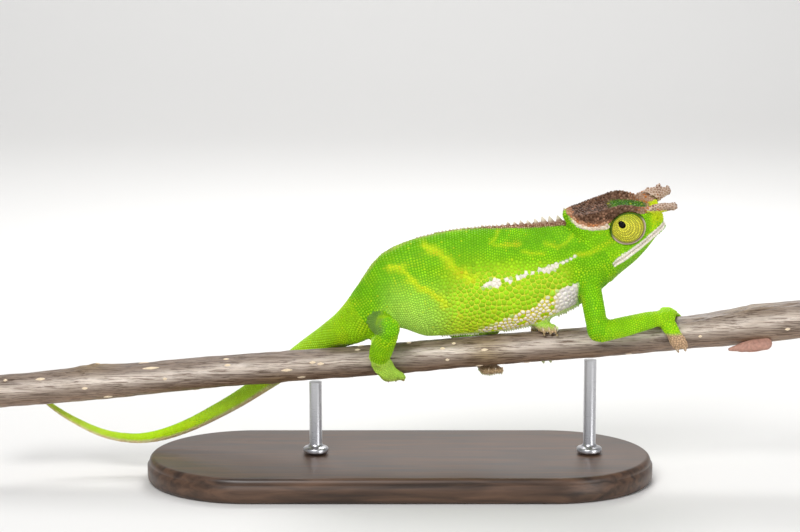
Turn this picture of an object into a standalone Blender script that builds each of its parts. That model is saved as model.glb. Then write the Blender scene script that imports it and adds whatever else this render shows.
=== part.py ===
"""Canopy chameleon, adult male, life size, on a cut length of twig held by a display stand.

Metres, +Z up, +X towards the head, -Y the animal's right side. The origin is the middle of
the underside of the stand's base. Body sizes are written in millimetres and scaled by MM.
"""

import math
import random
from collections import namedtuple

import bmesh
import bpy
from mathutils import Matrix, Vector

MM = 0.001
GAP = 0.3 * MM
HALF_GAP = GAP / 2.0
SEED = 7

# Stand and twig
BASE_LENGTH = 120.0 * MM
BASE_WIDTH = 50.0 * MM
BASE_THICKNESS = 6.0 * MM
BASE_CORNER = 24.9 * MM
BASE_EDGE = 1.2 * MM
CORNER_STEPS = 8
ROD_RADIUS = 1.5 * MM
ROD_PLACES = {"stand_rod_rear": -20.0 * MM, "stand_rod_front": 45.0 * MM}
ROD_COLLAR_RADIUS = 3.0 * MM
ROD_COLLAR_HEIGHT = 1.6 * MM
ROD_SIDES = 20

TwigStation = namedtuple("TwigStation", "x z radius")
TWIG = (
    TwigStation(-98.0, 20.8, 4.05),
    TwigStation(-82.0, 22.1, 4.05),
    TwigStation(-72.5, 23.2, 4.35),
    TwigStation(-64.0, 23.9, 4.0),
    TwigStation(-40.0, 26.1, 3.85),
    TwigStation(-11.6, 28.3, 3.8),
    TwigStation(23.6, 31.2, 3.8),
    TwigStation(47.2, 33.2, 3.85),
    TwigStation(70.8, 35.7, 4.1),
    TwigStation(80.0, 36.8, 4.5),
    TwigStation(86.0, 37.5, 4.75),
    TwigStation(98.0, 39.0, 4.45),
)
TWIG_SIDES = 16
TWIG_RINGS = 28
BUD_ROOT = (86.0, -2.6, 33.2)
BUD_TIP = (76.8, -4.1, 32.0)
BUD_RADIUS = 1.9

# Spine, from inside the head to the tip of the tail. Tilt is the section's lean in degrees,
# keel the sharpness of back and belly.
BodyStation = namedtuple("BodyStation", "x y z half_height half_width tilt keel")
SPINE = (
    BodyStation(50.0, -1.0, 57.0, 6.4, 4.2, 32.0, 0.0),
    BodyStation(43.4, -0.4, 53.9, 9.2, 5.1, 24.0, 0.05),
    BodyStation(38.8, 0.0, 51.9, 10.5, 5.5, 20.0, 0.12),
    BodyStation(32.9, 0.0, 49.9, 11.6, 5.9, 12.0, 0.20),
    BodyStation(25.9, 0.0, 48.5, 12.5, 6.2, 6.0, 0.24),
    BodyStation(18.8, 0.0, 47.8, 12.7, 6.4, 1.0, 0.24),
    BodyStation(11.8, 0.0, 47.2, 12.5, 6.3, 2.0, 0.22),
    BodyStation(4.7, 0.0, 46.1, 11.8, 6.0, 8.0, 0.18),
    BodyStation(-1.0, 0.0, 44.9, 9.9, 5.5, 21.0, 0.10),
    BodyStation(-5.6, 0.2, 41.7, 6.8, 4.9, 38.0, 0.03),
    BodyStation(-11.3, 1.6, 36.8, 4.8, 4.3, 40.0, 0.0),
    BodyStation(-16.6, 5.0, 33.2, 3.5, 3.3, 35.0, 0.0),
    BodyStation(-22.7, 7.1, 28.9, 2.9, 2.75, 34.0, 0.0),
    BodyStation(-28.7, 7.4, 24.4, 2.55, 2.4, 36.0, 0.0),
    BodyStation(-34.0, 7.3, 20.7, 2.26, 2.1, 34.5, 0.0),
    BodyStation(-38.4, 7.0, 17.8, 2.05, 1.9, 32.0, 0.0),
    BodyStation(-44.0, 6.4, 14.7, 1.88, 1.75, 28.0, 0.0),
    BodyStation(-50.7, 5.8, 11.4, 1.66, 1.55, 23.0, 0.0),
    BodyStation(-57.5, 5.4, 9.1, 1.45, 1.35, 13.0, 0.0),
    BodyStation(-63.8, 5.2, 8.4, 1.25, 1.15, -2.0, 0.0),
    BodyStation(-70.9, 5.1, 9.6, 1.10, 1.0, -18.0, 0.0),
    BodyStation(-78.0, 5.1, 12.9, 0.92, 0.84, -29.0, 0.0),
    BodyStation(-83.7, 5.1, 16.7, 0.70, 0.64, -38.0, 0.0),
    BodyStation(-87.5, 5.3, 20.4, 0.40, 0.4, -47.0, 0.0),
)
# Each length of the body: first station, last station, rings, sides
BODY_LENGTHS = {
    "neck": (0.3, 1.75, 6, 24),
    "torso": (1.75, 9.45, 22, 28),
    "tail_root": (9.45, 12.5, 11, 18),
    "tail_middle": (12.5, 16.5, 12, 14),
    "tail_arc": (16.5, 19.8, 11, 12),
    "tail_tip": (19.8, 23.0, 11, 10),
}

# Crest cones: spacing, height and root radius
DORSAL_CONES = 10
DORSAL_CONE_HEIGHT = 1.0
DORSAL_CONE_SPACING = 1.5
DORSAL_BUMPS = 11
DORSAL_BUMP_HEIGHT = 0.45
DORSAL_CREST_FRONT = 1.15
CONE_RADIUS = 0.55
CONE_SIDES = 4
VENTRAL_CONES = 8
VENTRAL_CONE_HEIGHT = 0.55
VENTRAL_CREST_FRONT = 2.0
VENTRAL_CONE_STEP = 0.24
# In stations of the spine: how finely the crest is walked, and its distance from a parting
CREST_WALK = 0.01
CREST_CLEARANCE = 0.11

# Head frame: middle of the skull between the eyes; a forward, b to the right side, c up
HEAD_PLACE = (52.7, -1.5, 61.9)
HEAD_ROLL = 18.0
HEAD_YAW = 5.0
HeadStation = namedtuple("HeadStation", "a roof crest crest_half temple temple_c cheek cheek_c throat")
HEAD = (
    HeadStation(-14.7, 3.0, 3.2, 0.9, 1.0, 2.4, 0.8, 1.7, 1.1),
    HeadStation(-13.0, 3.1, 3.4, 2.3, 2.8, 1.6, 2.3, 0.3, -1.2),
    HeadStation(-10.5, 3.3, 3.7, 3.4, 3.8, 1.2, 3.7, -2.0, -5.4),
    HeadStation(-7.0, 4.0, 4.8, 4.0, 4.4, 0.8, 4.6, -5.5, -11.8),
    HeadStation(-3.6, 4.9, 6.0, 4.0, 4.2, 0.6, 4.8, -7.6, -15.8),
    HeadStation(-0.6, 5.1, 6.4, 3.9, 3.9, 0.2, 4.5, -6.8, -13.0),
    HeadStation(2.6, 4.7, 5.6, 3.5, 3.4, 0.3, 3.9, -4.6, -10.1),
    HeadStation(5.2, 4.3, 5.6, 3.2, 2.9, 0.8, 3.0, -2.8, -7.0),
    HeadStation(7.2, 3.4, 4.8, 2.8, 2.2, 0.9, 2.2, -1.2, -3.9),
    HeadStation(8.6, 1.8, 2.6, 1.7, 1.5, 0.5, 1.4, -0.4, -1.9),
    HeadStation(8.8, 0.6, 0.8, 0.4, 0.4, 0.2, 0.4, 0.0, -0.5),
)
HEAD_RINGS = 22
HEAD_HALF_SIDES = 13
MOUTH_TIP = (9.0, 0.1)
MOUTH_CORNER = (-3.8, -9.3)
JAW_REAR = (-2.6, -18.0)
# The wedge that parts the jaw reaches past the head: below it, ahead of it and to its sides
WEDGE_LOW = -24.0
WEDGE_AHEAD = 4.0
WEDGE_REACH = 9.0
LIP_RADIUS = 0.5
LIP_RISE = 0.62
LIP_RINGS = 13
LIP_SIDES = 5
# Stations of the head where the lips start, and how far short of the last one they end
LIP_START = 4.1
LIP_SHORT = 1.35
ORBIT_RIM_RADIUS = 0.5
ORBIT_RIM_DEPTH = 0.65
ORBIT_RIM_PLACE = 3.75
ORBIT_RIM_SLANT = 0.35
RIM_RINGS = 16
TEMPLE_RIDGE = ((-13.4, 2.2, 2.4), (-11.4, 3.5, 1.0), (-8.6, 4.25, 0.8), (-5.2, 4.35, 1.3))
TEMPLE_RIDGE_RADII = (0.3, 0.42, 0.45, 0.3)
TEMPLE_RIDGE_RINGS = 5
NOSTRIL = (7.0, 2.3, 2.2)
NOSTRIL_RADIUS = 0.42

TURRET_PLACE = (0.0, 2.7, 0.35)
TURRET_RADIUS = 4.0
TURRET_BULGE = 3.1
TURRET_BACK = 1.0
TURRET_RINGS = 4
TURRET_SIDES = 18
SOCKET_RINGS = 3
TURRET_FOLD = 0.985
EYEBALL_RADIUS = 1.1
EYEBALL_DEPTH = 0.85
GAZE = {"right": (-0.585, 0.60, 0.545), "left": (0.30, 0.86, 0.35)}

# The horns are blades whose upper edges lean outward. The right one is the smaller.
HORN_PATH = ((3.0, 3.1, 4.2), (6.1, 3.4, 5.1), (8.4, 3.8, 5.7), (10.2, 4.0, 6.0))
HORN_HEIGHT = {"right": (1.3, 2.0, 1.9, 1.2), "left": (1.3, 1.9, 1.5, 0.85)}
HORN_THICKNESS = (0.6, 0.7, 0.75, 1.0)
HORN_FLARE = 32.0
HORN_SIZE = {"right": 0.78, "left": 1.0}
HORN_SIDES = 10
HORN_RINGS = 7
# Place along the path, millimetres above it in the blade, and radius
HORN_KNOBS = ((0.75, 1.75, 0.5), (1.87, 1.7, 0.6), (3.0, 1.0, 0.5), (1.8, -1.6, 0.45))
KNOB_SIDES = 6
KNOB_RINGS = 4
BALL_SIDES = 8
BALL_RINGS = 6
EYEBALL_SIDES = 12
EYEBALL_RINGS = 8

# Limbs: path points and radii of upper and lower length, then the grip on the twig. Angles
# go round the twig from its top, positive towards the right side.
Toe = namedtuple("Toe", "x_root x_tip angle_root angle_tip lift radius")
Limb = namedtuple("Limb", "upper upper_radii lower lower_radii palm palm_radii bundles")
LIMBS = {
    "front_right": Limb(
        upper=((44.0, -1.6, 49.0), (44.9, -5.8, 44.0), (46.1, -8.8, 37.4)),
        upper_radii=(2.9, 2.65, 2.6),
        lower=((46.3, -9.0, 37.1), (52.0, -7.4, 38.1), (58.6, -5.4, 39.4)),
        lower_radii=(2.5, 2.45, 2.1),
        palm=((57.6, -5.6, 39.2), (60.4, -5.0, 39.6), (62.9, -3.6, 40.1)),
        palm_radii=(2.05, 2.0, 1.9),
        bundles=(
            (2, Toe(62.2, 65.8, 40.0, 114.0, 1.3, 1.25)),
            (3, Toe(62.4, 66.6, 24.0, -118.0, 1.15, 1.1)),
        ),
    ),
    "front_left": Limb(
        upper=((43.6, 2.6, 49.0), (40.6, 8.4, 45.4), (37.4, 12.2, 41.4)),
        upper_radii=(3.1, 2.7, 2.55),
        lower=((37.2, 12.2, 41.2), (35.4, 9.0, 39.6), (33.2, 5.6, 38.0)),
        lower_radii=(2.5, 2.35, 1.9),
        palm=((33.6, 6.2, 38.2), (33.0, 4.4, 37.1), (32.9, 2.6, 36.9)),
        palm_radii=(1.8, 1.7, 1.2),
        bundles=(
            (3, Toe(32.9, 34.9, -14.0, 26.0, 1.1, 1.0)),
            (2, Toe(32.6, 34.6, -46.0, -132.0, 1.2, 1.15)),
        ),
    ),
    "hind_right": Limb(
        upper=((-5.4, -1.6, 39.4), (-4.2, -7.0, 38.3), (-2.6, -11.8, 38.5)),
        upper_radii=(3.0, 2.7, 2.75),
        lower=((-2.6, -11.6, 38.2), (-3.5, -9.8, 35.1), (-4.6, -7.5, 32.0)),
        lower_radii=(2.7, 2.65, 2.75),
        palm=((-4.9, -7.5, 32.2), (-4.9, -6.6, 30.4), (-4.5, -6.0, 29.4)),
        palm_radii=(2.6, 2.4, 1.9),
        bundles=(
            (3, Toe(-4.8, -1.1, 82.0, 146.0, 1.3, 1.2)),
            (2, Toe(-5.6, -3.6, 58.0, -130.0, 1.1, 1.05)),
        ),
    ),
    "hind_left": Limb(
        upper=((-4.8, 1.8, 42.6), (1.2, 7.2, 41.2), (6.2, 10.4, 39.0)),
        upper_radii=(3.9, 3.4, 2.9),
        lower=((6.2, 10.6, 39.0), (11.2, 9.8, 36.0), (15.8, 7.6, 31.9)),
        lower_radii=(2.6, 2.3, 2.1),
        palm=((15.0, 7.6, 32.0), (17.2, 6.5, 31.2), (18.9, 5.6, 30.8)),
        palm_radii=(2.1, 2.0, 1.7),
        bundles=(
            (3, Toe(18.4, 22.2, -98.0, -186.0, 1.2, 1.1)),
            (2, Toe(18.0, 22.4, -66.0, -34.0, 1.1, 1.0)),
        ),
    ),
}
LIMB_NODES = {
    "front_right": ("upper_arm_right", "forearm_right", "hand_right"),
    "front_left": ("upper_arm_left", "forearm_left", "hand_left"),
    "hind_right": ("thigh_right", "shank_right", "foot_right"),
    "hind_left": ("thigh_left", "shank_left", "foot_left"),
}
LIMB_SIDES = 11
LIMB_RINGS = 5
TOE_SIDES = 5
PAD_SIDES = 7
TOE_SPACING = 1.45
TOE_TAPER = (0.8, 1.0, 0.8)
# Shares of the bundle's length, and how far the toes have spread apart there
TOE_PARTS = ((0.5, 0.8), (0.8, 1.0), (1.0, 1.0))
PAD_PARTS = (0.0, 0.35, 0.8)
PAD_TAPER = (0.95, 1.0, 0.62)
PAD_WIDTH = {2: 1.65, 3: 2.15}
CLAW_RADII = (0.42, 0.34, 0.14)
# Degrees ahead of the toe's tip, millimetres along the twig and above the toe's middle
CLAW_PARTS = ((4.0, 0.0, 0.35), (15.0, 0.3, 0.25), (25.0, 0.5, -0.45))
# Rings of a rounded end: how far out along the axis and how wide, as shares of the radius
ROUND_CAP = ((0.78, 0.62), (0.42, 0.90))
BLUNT_CAP = ((0.62, 0.74),)
NO_CAP = ()

# Colour, roughness and metallic value of each finish
FINISHES = {
    "skin": ((0.25, 0.62, 0.04), 0.55, 0.0),
    "eye_skin": ((0.75, 0.72, 0.10), 0.5, 0.0),
    "eyeball": ((0.02, 0.02, 0.02), 0.15, 0.0),
    "horn": ((0.35, 0.22, 0.20), 0.6, 0.0),
    "bark": ((0.30, 0.24, 0.20), 0.7, 0.0),
    "stand_wood": ((0.10, 0.06, 0.04), 0.45, 0.0),
    "stand_metal": ((0.60, 0.60, 0.62), 0.3, 1.0),
}


def clear_scene():
    """Remove every object that the file already holds."""
    for obj in list(bpy.data.objects):
        bpy.data.objects.remove(obj, do_unlink=True)


def finish(name):
    """Return the material called name, made once from FINISHES."""
    material = bpy.data.materials.get(name)
    if material is None:
        colour, roughness, metallic = FINISHES[name]
        material = bpy.data.materials.new(name)
        material.use_nodes = True
        shader = material.node_tree.nodes["Principled BSDF"]
        shader.inputs["Base Color"].default_value = (*colour, 1.0)
        shader.inputs["Roughness"].default_value = roughness
        shader.inputs["Metallic"].default_value = metallic
    return material


def along(values, place):
    """Read values at a fractional index on a smooth curve through them."""
    last = len(values) - 1
    place = min(max(place, 0.0), float(last))
    first = min(int(place), last - 1)
    step = place - first
    start, end = values[first], values[first + 1]
    before = values[first - 1] if first > 0 else 2 * start - end
    after = values[first + 2] if first + 2 <= last else 2 * end - start
    return 0.5 * (
        2 * start
        + (end - before) * step
        + (2 * before - 5 * start + 4 * end - after) * step ** 2
        + (3 * start - before - 3 * end + after) * step ** 3
    )


def make_object(name, mesh_data, material):
    """Turn a bmesh into a smooth-shaded object with one material."""
    bmesh.ops.recalc_face_normals(mesh_data, faces=mesh_data.faces)
    mesh = bpy.data.meshes.new(name)
    mesh_data.to_mesh(mesh)
    mesh_data.free()
    mesh.materials.append(finish(material))
    mesh.shade_smooth()
    obj = bpy.data.objects.new(name, mesh)
    bpy.context.scene.collection.objects.link(obj)
    return obj


def skin_rings(name, rings, material, start_tip=None, end_tip=None):
    """Close a stack of rings into one solid, with flat ends or pointed ones."""
    mesh_data = bmesh.new()
    loops = [[mesh_data.verts.new(point) for point in ring] for ring in rings]
    count = len(loops[0])
    for lower, upper in zip(loops, loops[1:]):
        for i in range(count):
            j = (i + 1) % count
            mesh_data.faces.new((lower[i], lower[j], upper[j], upper[i]))
    for loop, tip in ((loops[0], start_tip), (loops[-1], end_tip)):
        middle = sum((v.co for v in loop), Vector()) / count
        point = mesh_data.verts.new(tip if tip is not None else middle)
        for i in range(count):
            mesh_data.faces.new((loop[i], loop[(i + 1) % count], point))
    return make_object(name, mesh_data, material)


def keep_largest(obj):
    """Leave only the largest closed surface of an object."""
    mesh_data = bmesh.new()
    mesh_data.from_mesh(obj.data)
    bmesh.ops.remove_doubles(mesh_data, verts=mesh_data.verts, dist=0.000002)
    bmesh.ops.dissolve_degenerate(mesh_data, edges=mesh_data.edges, dist=0.000001)
    unseen = set(mesh_data.faces)
    shells = []
    while unseen:
        seed = unseen.pop()
        shell, queue = {seed}, [seed]
        while queue:
            for edge in queue.pop().edges:
                for face in edge.link_faces:
                    if face in unseen:
                        unseen.remove(face)
                        shell.add(face)
                        queue.append(face)
        shells.append(shell)
    keep = max(shells, key=lambda shell: sum(face.calc_area() for face in shell))
    loose = [face for face in mesh_data.faces if face not in keep]
    bmesh.ops.delete(mesh_data, geom=loose, context="FACES")
    lone = [vert for vert in mesh_data.verts if not vert.link_faces]
    bmesh.ops.delete(mesh_data, geom=lone, context="VERTS")
    bmesh.ops.triangulate(mesh_data, faces=mesh_data.faces)
    mesh_data.to_mesh(obj.data)
    mesh_data.free()
    obj.data.shade_smooth()


def boolean(obj, helpers, operation, solver="EXACT"):
    """Apply one Boolean of obj with all its helpers, then remove the helpers."""
    group = bpy.data.collections.new("helpers")
    bpy.context.scene.collection.children.link(group)
    for helper in helpers:
        helper.hide_render = True
        helper.display_type = "WIRE"
        group.objects.link(helper)
    modifier = obj.modifiers.new("boolean", "BOOLEAN")
    modifier.operation = operation
    modifier.operand_type = "COLLECTION"
    modifier.collection = group
    modifier.solver = solver
    bpy.context.view_layer.update()
    evaluated = obj.evaluated_get(bpy.context.evaluated_depsgraph_get())
    result = bpy.data.meshes.new_from_object(evaluated)
    obj.modifiers.clear()
    obj.data = result
    for helper in list(group.objects):
        bpy.data.objects.remove(helper, do_unlink=True)
    bpy.data.collections.remove(group)
    keep_largest(obj)


def inflated(obj, amount=GAP):
    """Return a copy of obj grown by amount along its normals, to cut a neighbour clear."""
    copy = obj.copy()
    copy.data = obj.data.copy()
    bpy.context.scene.collection.objects.link(copy)
    mesh_data = bmesh.new()
    mesh_data.from_mesh(copy.data)
    mesh_data.normal_update()
    moves = [(vert, vert.normal * amount * vert.calc_shell_factor()) for vert in mesh_data.verts]
    for vert, move in moves:
        vert.co += move
    mesh_data.to_mesh(copy.data)
    mesh_data.free()
    return copy


def body_field(field, place):
    """Read one size of the spine at a fractional station."""
    return along([getattr(station, field) for station in SPINE], place)


def body_frame(place):
    """Return the centre, side and up directions of the body's section at a station."""
    centre = Vector([body_field(axis, place) for axis in "xyz"]) * MM
    ahead = Vector([body_field(axis, place - 0.05) for axis in "xyz"])
    behind = Vector([body_field(axis, place + 0.05) for axis in "xyz"])
    heading = (ahead - behind).normalized()
    tilt = math.radians(body_field("tilt", place))
    normal = Vector((math.cos(tilt), heading.y, math.sin(tilt))).normalized()
    side = normal.cross(Vector((-math.sin(tilt), 0.0, math.cos(tilt)))).normalized()
    return centre, side, side.cross(normal).normalized()


def body_ring(place, sides):
    """Return one section of the body: an upright oval, keeled along back and belly."""
    centre, side, up = body_frame(place)
    half_height = body_field("half_height", place) * MM
    half_width = body_field("half_width", place) * MM
    keel = body_field("keel", place)
    ring = []
    for i in range(sides):
        angle = 2.0 * math.pi * i / sides
        across = math.copysign(abs(math.cos(angle)) ** (1.0 + keel), math.cos(angle))
        fullness = 1.0 - 0.5 * keel * math.sin(angle)
        ring.append(centre + side * half_width * across * fullness + up * half_height * math.sin(angle))
    return ring


def body_length(name):
    """Make one length of the body between its two parting planes."""
    first, last, rings, sides = BODY_LENGTHS[name]
    step = 0.1
    start_pace = (body_frame(first)[0] - body_frame(first + step)[0]).length / step
    end_pace = (body_frame(last)[0] - body_frame(last - step)[0]).length / step
    start = first + HALF_GAP / start_pace
    end = last if last == len(SPINE) - 1 else last - HALF_GAP / end_pace
    places = [start + (end - start) * i / (rings - 1) for i in range(rings)]
    loops = [body_ring(place, sides) for place in places]
    return skin_rings(name, loops, "skin")


def crest_cone(root, direction, height, radius):
    """Make one short cone of a crest, with its root sunk in the body."""
    mesh_data = bmesh.new()
    turn = direction.to_track_quat("Z", "Y").to_matrix().to_4x4()
    sunk = 0.5 * height
    place = Matrix.Translation(root + direction * (height - sunk) / 2.0) @ turn
    bmesh.ops.create_cone(
        mesh_data, cap_ends=True, segments=CONE_SIDES, radius1=radius, radius2=0.12 * radius,
        depth=height + sunk, matrix=place,
    )
    return make_object("cone", mesh_data, "skin")


def crest_point(place, above):
    """Return the point on the back or the belly at a station, and the way it faces."""
    centre, _, up = body_frame(place)
    reach = body_field("half_height", place) * MM
    sign = 1.0 if above else -1.0
    return centre + up * reach * sign, up * sign


def walk_crest(start, spacing, count):
    """Yield stations spaced evenly along the back, from start towards the tail."""
    place = start
    last = crest_point(place, True)[0]
    found = 0
    while found < count:
        yield place
        found += 1
        while (crest_point(place, True)[0] - last).length < spacing * MM:
            place += CREST_WALK
        last = crest_point(place, True)[0]


def make_crests():
    """Make the cones of the back's crest and the belly's, listed by the node they grow on."""
    rng = random.Random(SEED)
    cones = {"neck": [], "torso": []}
    total = DORSAL_CONES + DORSAL_BUMPS
    for number, place in enumerate(walk_crest(DORSAL_CREST_FRONT, DORSAL_CONE_SPACING, total)):
        root, direction = crest_point(place, True)
        height = DORSAL_CONE_HEIGHT if number < DORSAL_CONES else DORSAL_BUMP_HEIGHT
        height *= rng.uniform(0.8, 1.1) * (0.7 if number == 0 else 1.0) * MM
        boundary = BODY_LENGTHS["neck"][1]
        if abs(place - boundary) > CREST_CLEARANCE:
            owner = "neck" if place < boundary else "torso"
            cones[owner].append(crest_cone(root, direction, height, CONE_RADIUS * MM))
    for number in range(VENTRAL_CONES):
        place = VENTRAL_CREST_FRONT + VENTRAL_CONE_STEP * number
        root, direction = crest_point(place, False)
        height = VENTRAL_CONE_HEIGHT * rng.uniform(0.8, 1.1) * MM
        cones["torso"].append(crest_cone(root, direction, height, 0.7 * CONE_RADIUS * MM))
    return cones


def head_matrix():
    """Return the matrix from the head's own frame to the world."""
    yaw = Matrix.Rotation(math.radians(HEAD_YAW), 4, "Z")
    roll = Matrix.Rotation(math.radians(HEAD_ROLL), 4, "X")
    axes = Matrix(((1, 0, 0, 0), (0, -1, 0, 0), (0, 0, 1, 0), (0, 0, 0, 1)))
    return Matrix.Translation(Vector(HEAD_PLACE) * MM) @ yaw @ roll @ axes


def head_point(a, b, c):
    """Return the world place of a point given in the head's frame, in millimetres."""
    return head_matrix() @ (Vector((a, b, c)) * MM)


def head_half_section(place):
    """Return the corners of the head's right half section, from the roof to the throat."""
    size = {field: along([getattr(s, field) for s in HEAD], place) for field in HeadStation._fields}
    rise = size["crest"] - size["roof"]
    deep = size["cheek_c"] - size["throat"]
    corners = [
        (0.0, size["roof"]),
        (0.60 * size["crest_half"], size["roof"] + 0.15 * rise),
        (0.90 * size["crest_half"], size["crest"]),
        (1.06 * size["crest_half"], size["crest"] - 0.35),
        (size["temple"], size["temple_c"]),
        (size["cheek"], size["cheek_c"]),
        (0.80 * size["cheek"], size["cheek_c"] - 0.62 * deep),
        (0.36 * size["cheek"], size["cheek_c"] - 0.94 * deep),
        (0.0, size["throat"]),
    ]
    return size["a"], corners


def head_ring(place):
    """Return one whole section of the head."""
    a, corners = head_half_section(place)
    across = [corner[0] for corner in corners]
    height = [corner[1] for corner in corners]
    last = len(corners) - 1
    half = []
    for i in range(HEAD_HALF_SIDES + 1):
        spot = last * i / HEAD_HALF_SIDES
        half.append((max(along(across, spot), 0.0), along(height, spot)))
    right = [head_point(a, b, c) for b, c in half]
    left = [head_point(a, -b, c) for b, c in half[1:-1]]
    return right + left[::-1]


def mouth_line(a):
    """Return the height of the mouth line at a place along the head."""
    slope = (MOUTH_TIP[1] - MOUTH_CORNER[1]) / (MOUTH_TIP[0] - MOUTH_CORNER[0])
    return MOUTH_TIP[1] + (a - MOUTH_TIP[0]) * slope


def mouth_edge(place):
    """Return the mouth line's point on the right cheek at a station of the head."""
    a, corners = head_half_section(place)
    last = len(corners) - 1
    spot = float(last)
    while spot > 0.0 and along([corner[1] for corner in corners], spot) < mouth_line(a):
        spot -= 0.02
    return Vector((a, along([corner[0] for corner in corners], spot), mouth_line(a)))


def make_lip(rise):
    """Make one lip, a ridge round the snout from one corner of the mouth to the other."""
    corner, tip = LIP_START, len(HEAD) - LIP_SHORT
    count = (LIP_RINGS + 1) // 2
    half = [mouth_edge(corner + (tip - corner) * i / (count - 1)) for i in range(count)]
    line = Vector((MOUTH_TIP[0] - MOUTH_CORNER[0], 0.0, MOUTH_TIP[1] - MOUTH_CORNER[1])).normalized()
    shift = Vector((-line.z, 0.0, line.x)) * rise
    right = [point + shift for point in half]
    left = [Vector((p.x, -p.y, p.z)) for p in right[::-1]]
    path = [head_point(*p) / MM for p in right + left]
    ends = [0.5] + [1.0] * (len(path) - 2) + [0.5]
    radii = [LIP_RADIUS * share for share in ends]
    return tube("lip", path, radii, LIP_SIDES, 2 * len(half), "skin", cap=BLUNT_CAP)


def make_orbit_rim(side):
    """Make the ring of skin round an eye's socket."""
    a, _, c = TURRET_PLACE
    reach = TURRET_RADIUS + 0.5 * ORBIT_RIM_RADIUS
    rings = []
    for i in range(RIM_RINGS):
        t = 2.0 * math.pi * i / RIM_RINGS
        ring = []
        for k in range(LIP_SIDES):
            turn = 2.0 * math.pi * k / LIP_SIDES
            out = reach + ORBIT_RIM_RADIUS * math.cos(turn)
            b = ORBIT_RIM_PLACE - ORBIT_RIM_SLANT * math.cos(t)
            b += ORBIT_RIM_DEPTH * math.sin(turn)
            ring.append(head_point(*head_side(side, (a + out * math.cos(t), b, c + out * math.sin(t)))))
        rings.append(ring)
    return skin_loop("rim", rings, "skin")


def skin_loop(name, rings, material):
    """Close rings that run round in a circle into one solid."""
    mesh_data = bmesh.new()
    loops = [[mesh_data.verts.new(point) for point in ring] for ring in rings]
    count = len(loops[0])
    for lower, upper in zip(loops, loops[1:] + loops[:1]):
        for i in range(count):
            j = (i + 1) % count
            mesh_data.faces.new((lower[i], lower[j], upper[j], upper[i]))
    return make_object(name, mesh_data, material)


def make_ridges():
    """Make the lips, orbit rims and temple ridges."""
    ridges = [make_lip(LIP_RISE), make_lip(-LIP_RISE)]
    for side in ("right", "left"):
        ridges.append(make_orbit_rim(side))
        path = [head_point(*head_side(side, p)) / MM for p in TEMPLE_RIDGE]
        ridges.append(tube("ridge", path, TEMPLE_RIDGE_RADII, LIP_SIDES, TEMPLE_RIDGE_RINGS, "skin", cap=BLUNT_CAP))
    return ridges


def make_head_form():
    """Make the plain form of head and jaw."""
    last = len(HEAD) - 1
    rings = [head_ring(last * i / (HEAD_RINGS - 1)) for i in range(HEAD_RINGS)]
    first, end = HEAD[0], HEAD[-1]
    rear = head_point(first.a - 0.4, 0.0, (first.roof + first.throat) / 2)
    front = head_point(end.a + 0.2, 0.0, (end.roof + end.throat) / 2)
    return skin_rings("head", rings, "skin", rear, front)


def jaw_wedge(grow):
    """Make the wedge below the mouth line, which parts the lower jaw from the head."""
    tip, corner = Vector(MOUTH_TIP), Vector(MOUTH_CORNER)
    line = (tip - corner).normalized()
    up = Vector((-line.y, line.x)) * grow / MM
    rear = Vector(JAW_REAR) - corner
    back = Vector((rear.y, -rear.x)).normalized() * grow / MM
    outline = [tip + line * WEDGE_AHEAD + up, corner + up + back, Vector((JAW_REAR[0], WEDGE_LOW)) + back]
    outline.append(Vector((tip.x + WEDGE_AHEAD, WEDGE_LOW)))
    mesh_data = bmesh.new()
    sides = []
    for b in (-WEDGE_REACH, WEDGE_REACH):
        sides.append([mesh_data.verts.new(head_point(a, b, c)) for a, c in outline])
    for i in range(4):
        j = (i + 1) % 4
        mesh_data.faces.new((sides[0][i], sides[0][j], sides[1][j], sides[1][i]))
    mesh_data.faces.new(sides[0])
    mesh_data.faces.new(sides[1][::-1])
    return make_object("wedge", mesh_data, "skin")


def turned(name, profile, place, axis, segments, material):
    """Turn a profile of (distance, radius) pairs round an axis into a solid."""
    turn = axis.to_track_quat("Z", "Y").to_matrix()
    side, other = turn @ Vector((1, 0, 0)), turn @ Vector((0, 1, 0))
    rings = []
    for distance, radius in profile[1:-1]:
        centre = place + axis * distance
        angles = [2.0 * math.pi * i / segments for i in range(segments)]
        rings.append([centre + (side * math.cos(t) + other * math.sin(t)) * radius for t in angles])
    start = place + axis * profile[0][0]
    end = place + axis * profile[-1][0]
    return skin_rings(name, rings, material, start, end)


def turret_profile(grow, rings):
    """Return the eye turret's profile, a low dome with soft concentric folds."""
    back = -TURRET_BACK * MM - grow
    radius = TURRET_RADIUS * MM + grow
    bulge = TURRET_BULGE * MM + grow
    profile = [(back, 0.0), (back, 0.86 * radius), (-0.3 * MM, radius)]
    steps = 2 * rings
    for i in range(1, steps):
        angle = 0.5 * math.pi * i / steps
        fold = TURRET_FOLD if rings > SOCKET_RINGS and i % 2 else 1.0
        profile.append((bulge * math.sin(angle) * fold, radius * math.cos(angle) * fold))
    profile.append((bulge, 0.0))
    return profile


def head_side(side, point):
    """Return a head-frame point or direction, mirrored for the left side."""
    a, b, c = point
    return (a, b if side == "right" else -b, c)


def make_turret(side, grow=0.0, rings=TURRET_RINGS):
    """Make one eye turret, or its socket's cutter when grown."""
    place = head_point(*head_side(side, TURRET_PLACE))
    axis = (head_matrix().to_3x3() @ Vector(head_side(side, (0.0, 1.0, 0.0)))).normalized()
    profile = turret_profile(grow, rings)
    return turned("eye_turret_" + side, profile, place, axis, TURRET_SIDES, "eye_skin")


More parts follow.
